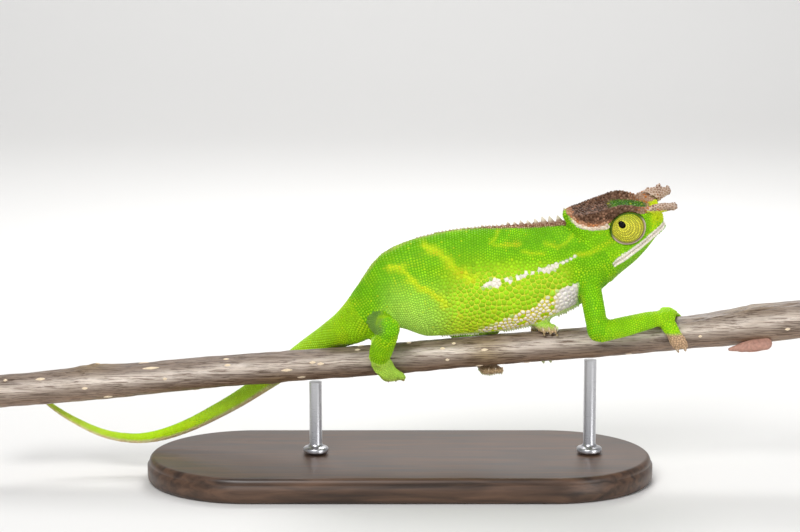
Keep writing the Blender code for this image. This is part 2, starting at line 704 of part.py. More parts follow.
def gaze_frame(side):
    """Return where the eyeball sits, and the way it looks."""
    gaze = Vector(head_side(side, GAZE[side])).normalized()
    a, b, c = gaze
    stretch = math.sqrt((a * a + c * c) / TURRET_RADIUS ** 2 + (b / TURRET_BULGE) ** 2)
    surface = Vector(head_side(side, TURRET_PLACE)) + gaze / stretch
    middle = surface - gaze * EYEBALL_DEPTH
    return head_point(*middle), (head_matrix().to_3x3() @ gaze).normalized()


def ball(name, place, radius, material, segments=EYEBALL_SIDES, rings=EYEBALL_RINGS):
    """Make a ball."""
    mesh_data = bmesh.new()
    bmesh.ops.create_uvsphere(
        mesh_data, u_segments=segments, v_segments=rings, radius=radius,
        matrix=Matrix.Translation(place),
    )
    return make_object(name, mesh_data, material)


def tube(name, points, radii, sides, rings, material, flat=1.0, flat_axis=None, cap=ROUND_CAP):
    """Make a round-ended tube through points, thinner along flat_axis by the factor flat."""
    last = len(points) - 1
    spots = [last * i / (rings - 1) for i in range(rings)]
    centres = [Vector([along([p[k] for p in points], s) for k in range(3)]) * MM for s in spots]
    widths = [along(list(radii), s) * MM for s in spots]
    heading = (centres[1] - centres[0]).normalized()
    guide = Vector(flat_axis) if flat_axis is not None else heading.orthogonal()
    loops = []
    tips = []
    for i, centre in enumerate(centres):
        before, after = centres[max(i - 1, 0)], centres[min(i + 1, rings - 1)]
        heading = (after - before).normalized()
        guide = (guide - heading * guide.dot(heading)).normalized()
        other = heading.cross(guide)
        if i in (0, rings - 1):
            away = -heading if i == 0 else heading
            tips.append(centre + away * widths[i])
            ends = [section(centre + away * widths[i] * d, guide, other, widths[i] * r, sides, flat)
                    for d, r in cap]
            here = section(centre, guide, other, widths[i], sides, flat)
            loops += ends + [here] if i == 0 else [here] + ends[::-1]
        else:
            loops.append(section(centre, guide, other, widths[i], sides, flat))
    return skin_rings(name, loops, material, tips[0], tips[1])


def section(centre, guide, other, radius, sides, flat):
    """Return one ring of a tube, thinner along guide by the factor flat."""
    angles = [2.0 * math.pi * i / sides for i in range(sides)]
    return [centre + guide * radius * flat * math.cos(t) + other * radius * math.sin(t) for t in angles]


def make_horn(side):
    """Make one rostral horn: a flared blade with a knobbed edge and a bulb at its tip."""
    path = [head_point(*head_side(side, p)) / MM for p in HORN_PATH]
    flare = math.radians(HORN_FLARE)
    turn = head_matrix().to_3x3()
    across = turn @ Vector(head_side(side, (0.0, math.cos(flare), -math.sin(flare))))
    up = turn @ Vector(head_side(side, (0.0, math.sin(flare), math.cos(flare))))
    size = HORN_SIZE[side]
    heights = [height * size for height in HORN_HEIGHT[side]]
    thin = sum(HORN_THICKNESS) / sum(HORN_HEIGHT[side])
    horn = tube("rostral_horn_" + side, path, heights, HORN_SIDES, HORN_RINGS, "horn", thin, across)
    knobs = []
    for place, rise, radius in HORN_KNOBS:
        spot = (along(path, place) + up * rise * size) * MM
        knobs.append(ball("knob", spot, radius * size * MM, "horn", KNOB_SIDES, KNOB_RINGS))
    knobs.append(ball("bulb", path[-1] * MM, heights[-1] * MM, "horn", BALL_SIDES, BALL_RINGS))
    boolean(horn, knobs, "UNION")
    return horn


def head_space():
    """Return the space of head and jaw with the gap round it, to cut the neck and horns."""
    space = []
    for form in [make_head_form()] + make_ridges():
        space.append(inflated(form))
        bpy.data.objects.remove(form, do_unlink=True)
    return space


def make_head():
    """Make the head, lower jaw, eye turrets, eyeballs and horns, each clear of the others."""
    head = make_head_form()
    boolean(head, make_ridges(), "UNION")
    jaw = head.copy()
    jaw.data = head.data.copy()
    jaw.name = "lower_jaw"
    bpy.context.scene.collection.objects.link(jaw)
    boolean(jaw, [jaw_wedge(-HALF_GAP)], "INTERSECT")
    cutters = [jaw_wedge(HALF_GAP)]
    for side in ("right", "left"):
        cutters.append(make_turret(side, GAP, SOCKET_RINGS))
        nostril = head_point(*head_side(side, NOSTRIL))
        cutters.append(ball("nostril", nostril, NOSTRIL_RADIUS * MM, "skin", BALL_SIDES, BALL_RINGS))
    boolean(head, cutters, "DIFFERENCE")
    for side in ("right", "left"):
        turret = make_turret(side)
        place, _ = gaze_frame(side)
        boolean(turret, [ball("socket", place, EYEBALL_RADIUS * MM + GAP, "eye_skin")], "DIFFERENCE")
        ball("eye_" + side, place, EYEBALL_RADIUS * MM, "eyeball")
        boolean(make_horn(side), head_space(), "DIFFERENCE")


def make_body():
    """Make the lengths of neck, torso and tail, with the crests on neck and torso."""
    cones = make_crests()
    lengths = {name: body_length(name) for name in BODY_LENGTHS}
    for name, spikes in cones.items():
        boolean(lengths[name], spikes, "UNION")
    boolean(lengths["neck"], head_space(), "DIFFERENCE")
    return lengths


def twig_centre(x):
    """Return the twig's centre and radius at a distance along X, in millimetres."""
    places = [station.x for station in TWIG]
    index = max(i for i in range(len(places) - 1) if places[i] <= x or i == 0)
    spot = index + (x - places[index]) / (places[index + 1] - places[index])
    for _ in range(6):
        error = along(places, spot) - x
        slope = (along(places, spot + 0.01) - along(places, spot - 0.01)) / 0.02
        spot -= error / max(slope, 1.0)
    height = along([station.z for station in TWIG], spot)
    return Vector((x, 0.0, height)), along([station.radius for station in TWIG], spot)


def twig_form():
    """Make the twig, slightly knobbly, with square cut ends."""
    start, end = TWIG[0].x, TWIG[-1].x
    rings = []
    for i in range(TWIG_RINGS):
        x = start + (end - start) * i / (TWIG_RINGS - 1)
        centre, radius = twig_centre(x)
        ring = []
        for j in range(TWIG_SIDES):
            angle = 2.0 * math.pi * j / TWIG_SIDES
            wobble = 1.0 + 0.012 * math.sin(3.0 * angle + 0.11 * x) + 0.01 * math.sin(0.35 * x)
            out = Vector((0.0, math.cos(angle), math.sin(angle)))
            ring.append((centre + out * radius * wobble) * MM)
        rings.append(ring)
    return skin_rings("perch_twig", rings, "bark")


def make_twig():
    """Make the perch with its bud."""
    twig = twig_form()
    root, tip = Vector(BUD_ROOT), Vector(BUD_TIP)
    points = [root.lerp(tip, t) for t in (0.0, 0.45, 1.0)]
    bud = tube("bud", points, (BUD_RADIUS, 0.75 * BUD_RADIUS, 0.35), 8, 5, "bark")
    boolean(twig, [bud], "UNION")
    return twig


def around_twig(x, angle, lift):
    """Return a point round the twig: lift is its height above the bark."""
    centre, radius = twig_centre(x)
    turn = math.radians(angle)
    return centre + Vector((0.0, -math.sin(turn), math.cos(turn))) * (radius + lift)


def toe_point(toe, part, shift, lift):
    """Return a point of a toe at a share of its length, shifted along the twig."""
    x = toe.x_root + (toe.x_tip - toe.x_root) * part + shift
    angle = toe.angle_root + (toe.angle_tip - toe.angle_root) * part
    return around_twig(x, angle, lift)


def make_toes(count, toe):
    """Make one bundle bent round the twig: a fused pad, then free toes with their claws."""
    pieces = []
    width = PAD_WIDTH[count] * toe.radius
    pad = [toe_point(toe, part, 0.0, toe.lift + 0.15) for part in PAD_PARTS]
    pad_radii = [width * share for share in PAD_TAPER]
    middle = twig_centre(toe.x_root)[0]
    outward = pad[1] - middle
    pieces.append(tube("pad", pad, pad_radii, PAD_SIDES, 4, "skin", toe.radius * 1.25 / width, outward, BLUNT_CAP))
    for number in range(count):
        shift = (number - (count - 1) / 2.0) * TOE_SPACING * toe.radius
        points = [toe_point(toe, part, shift * spread, toe.lift) for part, spread in TOE_PARTS]
        radii = [toe.radius * share for share in TOE_TAPER]
        pieces.append(tube("toe", points, radii, TOE_SIDES, 3, "skin", cap=BLUNT_CAP))
        turn = math.copysign(1.0, toe.angle_tip - toe.angle_root)
        claw = []
        for ahead, onward, lift in CLAW_PARTS:
            angle = toe.angle_tip + turn * ahead
            claw.append(around_twig(toe.x_tip + shift + onward, angle, toe.lift + lift))
        pieces.append(tube("claw", claw, CLAW_RADII, 4, 3, "skin", cap=NO_CAP))
    return pieces


def make_limb(key, lengths, twig):
    """Make one limb: upper length, lower length and the hand or foot that grips the twig."""
    limb = LIMBS[key]
    upper_name, lower_name, grip_name = LIMB_NODES[key]
    upper = tube(upper_name, limb.upper, limb.upper_radii, LIMB_SIDES, LIMB_RINGS, "skin")
    lower = tube(lower_name, limb.lower, limb.lower_radii, LIMB_SIDES, LIMB_RINGS, "skin")
    grip = tube(grip_name, limb.palm, limb.palm_radii, 8, 4, "skin")
    pieces = []
    for count, toe in limb.bundles:
        pieces += make_toes(count, toe)
    boolean(grip, pieces, "UNION")
    neighbours = (lower, twig, lengths["torso"], lengths["tail_root"])
    boolean(grip, [inflated(obj) for obj in neighbours], "DIFFERENCE")
    boolean(lower, [inflated(obj) for obj in (upper, twig, lengths["torso"])], "DIFFERENCE")
    roots = ("torso", "neck", "tail_root")
    boolean(upper, [inflated(lengths[root]) for root in roots], "DIFFERENCE")


def make_stand(twig):
    """Make the base and its two rods, each rod cupped to the twig."""
    half_length = BASE_LENGTH / 2.0 - BASE_CORNER
    half_width = BASE_WIDTH / 2.0 - BASE_CORNER
    outline = []
    for centre_x, centre_y, start in (
        (half_length, half_width, 0), (-half_length, half_width, 90),
        (-half_length, -half_width, 180), (half_length, -half_width, 270),
    ):
        for i in range(CORNER_STEPS + 1):
            angle = math.radians(start + 90.0 * i / CORNER_STEPS)
            outline.append((centre_x, centre_y, math.cos(angle), math.sin(angle)))
    levels = ((0.0, BASE_CORNER), (BASE_THICKNESS - BASE_EDGE, BASE_CORNER),
              (BASE_THICKNESS - 0.35 * BASE_EDGE, BASE_CORNER - 0.35 * BASE_EDGE),
              (BASE_THICKNESS, BASE_CORNER - BASE_EDGE))
    rings = []
    for z, reach in levels:
        rings.append([Vector((x + c * reach, y + s * reach, z)) for x, y, c, s in outline])
    skin_rings("stand_base", rings, "stand_wood")
    for name, x in ROD_PLACES.items():
        centre, _ = twig_centre(x / MM)
        foot = BASE_THICKNESS + GAP
        collar = foot + ROD_COLLAR_HEIGHT
        profile = [(foot, 0.0), (foot, ROD_COLLAR_RADIUS), (collar, ROD_COLLAR_RADIUS),
                   (collar, ROD_RADIUS), (centre.z * MM, ROD_RADIUS), (centre.z * MM, 0.0)]
        rod = turned(name, profile, Vector((x, 0, 0)), Vector((0, 0, 1)), ROD_SIDES, "stand_metal")
        boolean(rod, [inflated(twig)], "DIFFERENCE")


def main():
    """Build the whole model."""
    clear_scene()
    twig = make_twig()
    make_head()
    lengths = make_body()
    for name in ("torso", "tail_root"):
        boolean(lengths[name], [inflated(twig)], "DIFFERENCE")
    for key in LIMBS:
        make_limb(key, lengths, twig)
    make_stand(twig)


main()
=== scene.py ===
import itertools
import math

import bmesh
import bpy
import numpy as np
from mathutils import Matrix, Vector, kdtree
from mathutils.bvhtree import BVHTree


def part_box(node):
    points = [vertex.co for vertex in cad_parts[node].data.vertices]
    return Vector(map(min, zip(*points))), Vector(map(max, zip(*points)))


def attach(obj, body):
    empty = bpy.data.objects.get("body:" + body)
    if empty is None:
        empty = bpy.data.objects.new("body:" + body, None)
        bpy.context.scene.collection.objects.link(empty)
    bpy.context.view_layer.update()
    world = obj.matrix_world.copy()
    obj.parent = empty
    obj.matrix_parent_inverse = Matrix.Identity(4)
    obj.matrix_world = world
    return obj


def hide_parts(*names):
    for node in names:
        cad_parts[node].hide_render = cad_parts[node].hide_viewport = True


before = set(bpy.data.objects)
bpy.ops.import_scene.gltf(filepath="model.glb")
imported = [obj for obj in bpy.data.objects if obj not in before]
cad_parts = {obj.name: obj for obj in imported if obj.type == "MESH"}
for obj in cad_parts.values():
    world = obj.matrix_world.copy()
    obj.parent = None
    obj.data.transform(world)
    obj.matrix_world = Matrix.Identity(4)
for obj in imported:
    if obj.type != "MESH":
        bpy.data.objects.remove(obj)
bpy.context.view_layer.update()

bl_info = {
    "name": "Canopy Chameleon",
    "version": (1, 0, 0),
    "blender": (4, 5, 0),
    "location": "View3D > Sidebar > Chameleon",
    "description": "Skin, scales, eyes, horns, twig and display stand of a life-size canopy chameleon",
    "category": "Object",
}

MM = 0.001
SEED = 11

NOT_FLESH = ("eye", "rostral", "perch", "stand")
FLESH = tuple(sorted(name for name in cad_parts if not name.startswith(NOT_FLESH)))
SIDES = {"right": 1.0, "left": -1.0}

# Head frame, in millimetres: a forward, b to the right side, c up
HEAD_PLACE = (52.7, -1.5, 61.9)
HEAD_ROLL = 18.0
HEAD_YAW = 5.0
MOUTH_TIP = (9.0, 0.1)
MOUTH_CORNER = (-3.8, -9.3)
TURRET_PLACE = (0.0, 2.7, 0.35)
TURRET_RADIUS = 4.0
TURRET_BULGE = 3.1
EYEBALL_RADIUS = 1.1
EYEBALL_DEPTH = 0.85
GAZE = {"right": (-0.585, 0.60, 0.545), "left": (0.30, 0.86, 0.35)}
CASQUE_MARGIN = (
    (-15.0, 3.4), (-13.8, 2.7), (-11.8, 1.3), (-8.9, 0.7), (-5.2, 1.2), (-3.7, 2.4),
    (-2.4, 3.4), (0.6, 4.1), (3.2, 3.9), (4.8, 4.0), (7.5, 4.6), (12.0, 5.0),
)
EYE_STRIPE = ((-3.5, -2.3), (-6.4, -4.1), (-8.7, -5.6))
NOSTRIL = (7.0, 2.3, 2.2)
# The white boss behind the eye, and the lip scales' place off the mouth line and their spacing
BOSS = (-5.1, 1.1)
LIP_RISE = 0.42
LIP_STEP = 0.64

# How far the flesh nodes swell before they fuse, the horns' grain, and the width of their plates
SWELL = 0.24
HORN_VOXEL = 0.16
HORN_PLATE = 0.64
# How many random places are tried for scales that don't lie in rows
LOOSE_SEEDS = 90000
# Points round a turret or the twig, points round the soft rim, and rings along the twig
RING = 96
RIM_SIDES = 12
BARK_RINGS = 520
# About the twig's radius, for patterns that run round it
TWIG_RADIUS = 4.0

# Marks on both flanks: places (x, z) in millimetres
YELLOW_BANDS = (
    (((5.7, 56.4), (7.4, 55.9), (10.7, 54.0), (12.4, 51.9), (14.8, 50.2), (17.1, 49.2)), 0.8),
    (((-2.4, 51.9), (0.0, 51.6), (2.7, 49.2), (4.7, 47.2), (7.4, 45.8), (10.4, 43.4)), 0.75),
    (((20.9, 57.2), (22.2, 58.0), (22.9, 60.0)), 0.35),
    (((21.8, 56.9), (24.6, 56.8), (27.9, 57.0)), 0.4),
    (((28.6, 55.5), (30.4, 55.0), (33.6, 55.0)), 0.4),
    (((33.9, 57.2), (36.9, 56.6), (38.9, 57.6), (40.9, 60.0)), 0.4),
    (((49.6, 58.3), (46.6, 56.6), (44.2, 55.2), (40.8, 54.7)), 0.5),
)
ORANGE_SPOTS = ((25.0, 57.2, 0.7), (27.2, 57.1, 0.9), (14.4, 50.8, 0.9), (8.0, 54.9, 0.6))
WHITE_STRIPE = ((18.9, 47.5), (22.4, 48.4), (27.6, 49.7), (34.5, 51.5), (41.0, 54.4))
WHITE_DOTS = (
    (19.5, 47.5, 0.55), (20.4, 47.8, 0.75), (21.4, 48.2, 1.0), (22.5, 48.3, 1.05),
    (24.7, 49.0, 0.6), (25.8, 48.9, 0.5), (27.6, 49.7, 0.7), (28.6, 50.0, 0.55), (29.5, 50.3, 0.55),
    (30.7, 50.6, 0.5), (32.4, 51.0, 0.6), (33.3, 51.2, 0.5), (34.5, 51.5, 0.8), (35.6, 51.8, 0.65),
    (36.5, 52.5, 0.6), (37.7, 53.0, 0.5), (38.8, 53.4, 0.45), (39.8, 53.9, 0.4), (40.7, 54.4, 0.45),
)
# The ridge of the back, and the depth of the brown strip along it, from x
BACK_LINE = (
    (-9.8, 47.1), (-4.5, 54.1), (3.1, 57.8), (11.4, 59.7), (18.6, 60.5), (24.6, 60.95), (30.5, 61.3),
    (35.2, 61.8), (40.5, 62.5),
)
BACK_STRIP = ((14.0, 0.05), (20.0, 0.2), (28.0, 0.55), (40.0, 0.85))
# The trunk's axis: x, z and the lean of its rows of scales in degrees
TRUNK_ROWS = (
    (-9.5, 38.4, 40.0), (-5.6, 41.7, 36.0), (-1.0, 44.9, 24.0), (4.7, 46.1, 12.0), (11.8, 47.2, 4.0),
    (18.8, 47.8, 1.0), (25.9, 48.5, 6.0), (32.9, 49.9, 13.0), (39.8, 52.3, 20.0),
)
BELLY_BAND_TOP = (
    (15.5, 36.0), (21.0, 37.3), (24.5, 39.1), (31.5, 42.6), (37.3, 46.4), (40.5, 47.8), (44.0, 48.4),
)
BELLY_BAND_LOW = ((15.5, 35.6), (23.4, 36.2), (28.0, 36.8), (32.7, 38.3), (37.4, 40.9), (44.0, 43.8))


def length(label, text, default):
    """Return a length setting; the default is in millimetres."""
    return bpy.props.FloatProperty(
        name=label, description=text, default=default * MM, min=0.0, precision=5,
        subtype="DISTANCE", unit="LENGTH",
    )


def colour(label, text, default):
    """Return a colour setting."""
    return bpy.props.FloatVectorProperty(
        name=label, description=text, default=default, min=0.0, max=1.0, size=3, subtype="COLOR",
    )


class ScaleSizes(bpy.types.PropertyGroup):
    """Sizes of the skin's grain and of the scales"""

    voxel: length("Skin grain", "Edge of the skin's mesh", 0.32)
    back: length("Back", "Width of the scales on the back and rear flank", 0.66)
    flank: length("Front flank", "Width of the large scales low on the front flank", 1.2)
    band: length("Belly band", "Width of the white scales on the belly band", 1.0)
    head: length("Head", "Width of the scales on cheek and neck", 0.56)
    casque: length("Casque", "Width of the bony scales on the casque", 0.62)
    limb: length("Limbs", "Width of the scales on arms and legs", 0.60)
    toe: length("Toes", "Width of the scales on hands and feet", 0.48)
    tail: length("Tail", "Width of the scales at the root of the tail", 0.62)
    gap: length("Gap", "Bare skin between two scales", 0.09)
    wide_gap: length("Wide gap", "Bare skin between the large scales of the flank", 0.08)
    sunk: length("Sunk", "How deep each scale sits in the skin", 0.12)


class SkinColours(bpy.types.PropertyGroup):
    """Colours of skin and scales"""

    lime: colour("Lime", "Body colour of the flank", (0.30, 0.68, 0.005))
    deep: colour("Deep green", "Green of the back", (0.10, 0.37, 0.002))
    cool: colour("Cool green", "Green of the low rear flank", (0.55, 0.86, 0.13))
    yellow: colour("Yellow", "Bands and the skin between scales", (0.76, 0.80, 0.012))
    cream: colour("Cream", "Underside of the tail", (0.68, 0.58, 0.36))
    orange: colour("Orange", "Spots among the bands", (0.80, 0.42, 0.02))
    white: colour("White", "Flank stripe, belly band and lips", (0.92, 0.85, 0.74))
    brown: colour("Brown", "Casque", (0.062, 0.026, 0.012))
    pink: colour("Pink", "Horns, crest and edge of the casque", (0.52, 0.33, 0.22))
    toe: colour("Toe", "Outer half of the toes", (0.58, 0.36, 0.24))
    claw: colour("Claw", "Claws", (0.34, 0.13, 0.06))


class EyeSettings(bpy.types.PropertyGroup):
    """The eye turrets and eyeballs"""

    ring: length("Ring", "Width of one ring of grains on the turret", 0.46)
    lid: length("Lid", "Radius of the opening in the lids", 0.80)
    rim: length("Rim", "Thickness of the soft rim round the turret's foot", 0.24)
    yellow: colour("Turret", "Yellow of the turret", (1.0, 0.93, 0.08))
    groove: colour("Groove", "Dark colour between the rings", (0.10, 0.12, 0.006))
    iris: colour("Iris", "Back of the eyeball", (0.45, 0.28, 0.12))


class BarkSettings(bpy.types.PropertyGroup):
    """The twig"""

    # the bark's own grey, and the colour of the painted sheen band along the twig's sides
    grey: colour("Grey bark", "Grey of the bark and of its painted sheen band", (0.80, 0.70, 0.61))
    brown: colour("Brown bark", "Bark that isn't worn", (0.17, 0.105, 0.062))
    knot: colour("Knot", "Yellowish bark on the knots", (0.34, 0.23, 0.07))
    gloss: bpy.props.FloatProperty(
        name="Polish", description="Roughness of the bark where it is smoothest",
        default=0.24, min=0.0, max=0.7,
    )
    lenticel: colour("Lenticel", "Pale pores in the bark", (0.86, 0.70, 0.50))
    bud: colour("Bud", "The bud's scales", (0.46, 0.25, 0.19))


class StandSettings(bpy.types.PropertyGroup):
    """The display stand and the studio"""

    wood: colour("Wood", "Stained wood of the base", (0.085, 0.045, 0.026))
    steel: colour("Steel", "Brushed steel of the rods", (0.58, 0.58, 0.60))
    paper: colour("Studio", "Pale paper floor and backdrop", (0.80, 0.79, 0.77))
    key: bpy.props.FloatProperty(
        name="Key light", description="Power of the main soft light", default=2.0, min=0.0, subtype="POWER",
        unit="POWER",
    )


# Places and meshes


def mm(value):
    """Return a length setting in millimetres."""
    return value / MM


def numbers(items, field, width, kind=np.float32):
    """Return one field of a mesh's items as rows of numbers."""
    values = np.empty(len(items) * width, kind)
    items.foreach_get(field, values)
    return values.reshape(-1, width)


def arrays_of(mesh):
    """Return a mesh's points in millimetres, edges and vertex normals."""
    points = numbers(mesh.vertices, "co", 3).astype(float) / MM
    normals = numbers(mesh.vertex_normals, "vector", 3).astype(float)
    return points, numbers(mesh.edges, "vertices", 2, np.int32), normals


def triangles_of(mesh):
    """Return a mesh's triangles as rows of vertex numbers."""
    mesh.calc_loop_triangles()
    return numbers(mesh.loop_triangles, "vertices", 3, np.int32)


def node_mesh(name):
    """Return a node's points in millimetres and its triangles."""
    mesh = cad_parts[name].data
    return arrays_of(mesh)[0], triangles_of(mesh)


def node_box(name):
    """Return the low and the high corner of a node's box in millimetres."""
    low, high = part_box(name)
    return np.array(low) / MM, np.array(high) / MM


def tree_of(points, triangles):
    """Return a search tree of a surface given in millimetres."""
    return BVHTree.FromPolygons(points.tolist(), triangles.tolist())


def search_of(points):
    """Return a search tree of single points."""
    search = kdtree.KDTree(len(points))
    for index, point in enumerate(points.tolist()):
        search.insert(point, index)
    search.balance()
    return search


def nearest(tree, points):
    """Return the nearest place, normal, face and distance on a surface for each point."""
    found = [tree.find_nearest(point) for point in points.tolist()]
    return tuple(np.array([hit[part] for hit in found]) for part in range(4))


def flesh_tree():
    """Return one search tree of all the flesh nodes, and each triangle's node."""
    points, triangles, owner, count = [], [], [], 0
    for number, name in enumerate(FLESH):
        some, faces = node_mesh(name)
        points.append(some)
        triangles.append(faces + count)
        owner.append(np.full(len(faces), number))
        count += len(some)
    return tree_of(np.vstack(points), np.vstack(triangles)), np.concatenate(owner)


def head_matrix():
    """Return the turn and the place of the head's own frame."""
    yaw, roll = math.radians(HEAD_YAW), math.radians(HEAD_ROLL)
    turn = Matrix.Rotation(yaw, 3, "Z") @ Matrix.Rotation(roll, 3, "X") @ Matrix.Diagonal((1, -1, 1))
    return np.array(turn), np.array(HEAD_PLACE)


def to_head(points):
    """Return points in the head's frame."""
    turn, place = head_matrix()
    return (np.asarray(points) - place) @ turn


def from_head(points):
    """Return points of the head's frame in the world."""
    turn, place = head_matrix()
    return np.asarray(points) @ turn.T + place


def on_side(local, side):
    """Return places on the right of the head's frame in the world, mirrored for the left side."""
    return from_head(np.asarray(local) * (1.0, SIDES[side], 1.0))


def inward_of(side):
    """Return the way into the head from one side, in the world."""
    return from_head([(0.0, 0.0, 0.0)])[0] - from_head([(0.0, SIDES[side], 0.0)])[0]


def unit(vectors):
    """Return vectors at length one."""
    return vectors / np.maximum(np.linalg.norm(vectors, axis=-1, keepdims=True), 1e-9)


def soft(value, low, high):
    """Return a smooth step from 0 at low to 1 at high."""
    share = np.clip((value - low) / (high - low), 0.0, 1.0)
    return share * share * (3.0 - 2.0 * share)


def mixed(first, second, share):
    """Mix two colours or two arrays of them by a share for each point."""
    share = np.asarray(share)[..., None]
    return np.asarray(first) * (1.0 - share) + np.asarray(second) * share


def read_at(table, x, column=1):
    """Return a column of a table at places between its rows."""
    table = np.asarray(table)
    return np.interp(x, table[:, 0], table[:, column])


def evened(values, reach, beyond):
    """Even a row of values out over their neighbours; beyond says how it goes on past its ends."""
    kernel = np.hanning(2 * reach + 1)
    return np.convolve(np.pad(values, reach, beyond), kernel / kernel.sum(), "valid")


def to_path(spots, path):
    """Return the distance from flat places to a line through a few points."""
    best = np.full(len(spots), 1e9)
    for start, end in zip(path, path[1:]):
        start, end = np.array(start), np.array(end)
        run = end - start
        share = np.clip(((spots - start) @ run) / (run @ run), 0.0, 1.0)
        best = np.minimum(best, np.linalg.norm(spots - start - share[:, None] * run, axis=1))
    return best


def cloud(points, size, seed):
    """Return a smooth random field between about -1 and 1, whose patches have the given size."""
    rng = np.random.default_rng(seed)
    waves = unit(rng.normal(size=(7, 3))) * rng.uniform(0.7, 1.4, (7, 1)) * 2.0 * math.pi / (2.2 * size)
    return np.sin(points @ waves.T + rng.uniform(0, 2 * math.pi, 7)).sum(1) / 3.0


def speckled(points, size, seed, base, gain):
    """Return a share between 0 and 1 that varies round a base."""
    return np.clip(base + gain * cloud(points, size, seed), 0.0, 1.0)


def linked(name, data):
    """Return a new object of the data, put into the scene."""
    obj = bpy.data.objects.new(name, data)
    bpy.context.scene.collection.objects.link(obj)
    return obj


def move_points(mesh, points):
    """Move a mesh's points to places in millimetres."""
    mesh.vertices.foreach_set("co", (points * MM).astype(np.float32).ravel())
    mesh.update()


def remeshed(mesh, voxel):
    """Return a mesh's form as one even mesh with a grain of voxel millimetres."""
    obj = linked("fused", mesh)
    modifier = obj.modifiers.new("voxels", "REMESH")
    modifier.mode = "VOXEL"
    modifier.voxel_size = voxel * MM
    bpy.context.view_layer.update()
    fused = bpy.data.meshes.new_from_object(obj.evaluated_get(bpy.context.evaluated_depsgraph_get()))
    bpy.data.objects.remove(obj, do_unlink=True)
    return fused


def as_piece(name, mesh):
    """Make a smooth-shaded piece of a mesh and let it ride on the one body."""
    mesh.name = name
    mesh.materials.clear()
    mesh.shade_smooth()
    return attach(linked(name, mesh), "root")


def new_object(name, points, faces):
    """Make a smooth-shaded piece from points in millimetres and equal-sided faces."""
    mesh = bpy.data.meshes.new(name)
    points = np.asarray(points, np.float32)
    faces = np.asarray(faces, np.int32)
    mesh.vertices.add(len(points))
    mesh.vertices.foreach_set("co", (points * MM).ravel())
    mesh.loops.add(faces.size)
    mesh.loops.foreach_set("vertex_index", faces.ravel())
    mesh.polygons.add(len(faces))
    mesh.polygons.foreach_set("loop_start", np.arange(0, faces.size, faces.shape[1], dtype=np.int32))
    mesh.update(calc_edges=True)
    return as_piece(name, mesh)


def paint(obj, colours):
    """Keep one colour for each point as the piece's markings."""
    layer = obj.data.color_attributes.new("Markings", "FLOAT_COLOR", "POINT")
    full = np.ones((len(colours), 4), np.float32)
    full[:, :3] = np.clip(colours, 0.0, 1.0)
    layer.data.foreach_set("color", full.ravel())


def dress(obj, material, slot, *nodes):
    """Give a piece its material, and the nodes that it stands for; the slot is not used."""
    obj.data.materials.append(material)
    if nodes:
        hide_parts(*nodes)


def circle(count, shift=0.0):
    """Return points on a flat circle of radius one, turned on by a share of a step."""
    angles = (np.arange(count) + shift) * 2.0 * math.pi / count
    return np.stack([np.cos(angles), np.sin(angles)], 1)


def turned(profile, segments):
    """Return points and quads of a profile of (radius, height) pairs turned round Z."""
    profile = np.asarray(profile, float)[:, None]
    points = np.empty((len(profile), segments, 3))
    points[:, :, :2] = profile[:, :, :1] * circle(segments)
    points[:, :, 2] = profile[:, :, 1]
    return points.reshape(-1, 3), grid_faces(len(profile), segments)


def grid_faces(rings, sides):
    """Return the quads of rings that each close on themselves, flat ends left to collapse."""
    ring, side = np.meshgrid(np.arange(rings - 1) * sides, np.arange(sides), indexing="ij")
    after = (side + 1) % sides
    return np.stack([ring + side, ring + after, ring + sides + after, ring + sides + side], -1).reshape(-1, 4)


def framed(direction):
    """Return two directions square to the given one."""
    direction = unit(np.asarray(direction, float))
    guide = np.where(np.abs(direction[..., 2:]) < 0.9, [0.0, 0.0, 1.0], [1.0, 0.0, 0.0])
    first = unit(np.cross(guide, direction))
    return first, np.cross(direction, first)


def swept(path, radii, sides, flat=1.0, flat_axis=None, rounded=6):
    """Return points and quads of a tube with round ends along a path."""
    path, radii = np.asarray(path, float), np.asarray(radii, float)
    heading = unit(np.gradient(path, axis=0))
    guide = np.asarray(flat_axis, float) if flat_axis is not None else framed(heading[0])[0]
    turns = [0.5 * math.pi * step / rounded for step in range(rounded)]
    first, second = circle(sides).T
    rings = []

    def cap(out):
        """Return the rings of a round end at the present centre, from its tip on."""
        return [centre + out * radius * math.cos(turn) + ring * radius * math.sin(turn) for turn in turns]

    for centre, way, radius in zip(path, heading, radii):
        guide = unit(guide - way * (guide @ way))
        ring = np.outer(first, guide) * flat + np.outer(second, np.cross(way, guide))
        rings += [] if rings else cap(-way)
        rings.append(centre + ring * radius)
    rings += cap(way)[::-1]
    return np.vstack(rings), grid_faces(len(rings), sides)


def joined(parts):
    """Join several (points, faces) pairs with like faces into one."""
    points, faces, count = [], [], 0
    for some, more in parts:
        points.append(some)
        faces.append(np.asarray(more) + count)
        count += len(some)
    return np.vstack(points), np.vstack(faces)


# Materials


def set_inputs(tree, node, inputs):
    """Link the sockets among the values to a node's inputs, and set the plain values there."""
    for key, value in inputs.items():
        if isinstance(value, bpy.types.NodeSocket):
            tree.links.new(value, node.inputs[key])
        else:
            node.inputs[key].default_value = value


def add_node(tree, kind, inputs=None, **fields):
    """Add a node with its fields and inputs set."""
    node = tree.nodes.new(kind)
    for field, value in fields.items():
        setattr(node, field, value)
    set_inputs(tree, node, inputs or {})
    return node


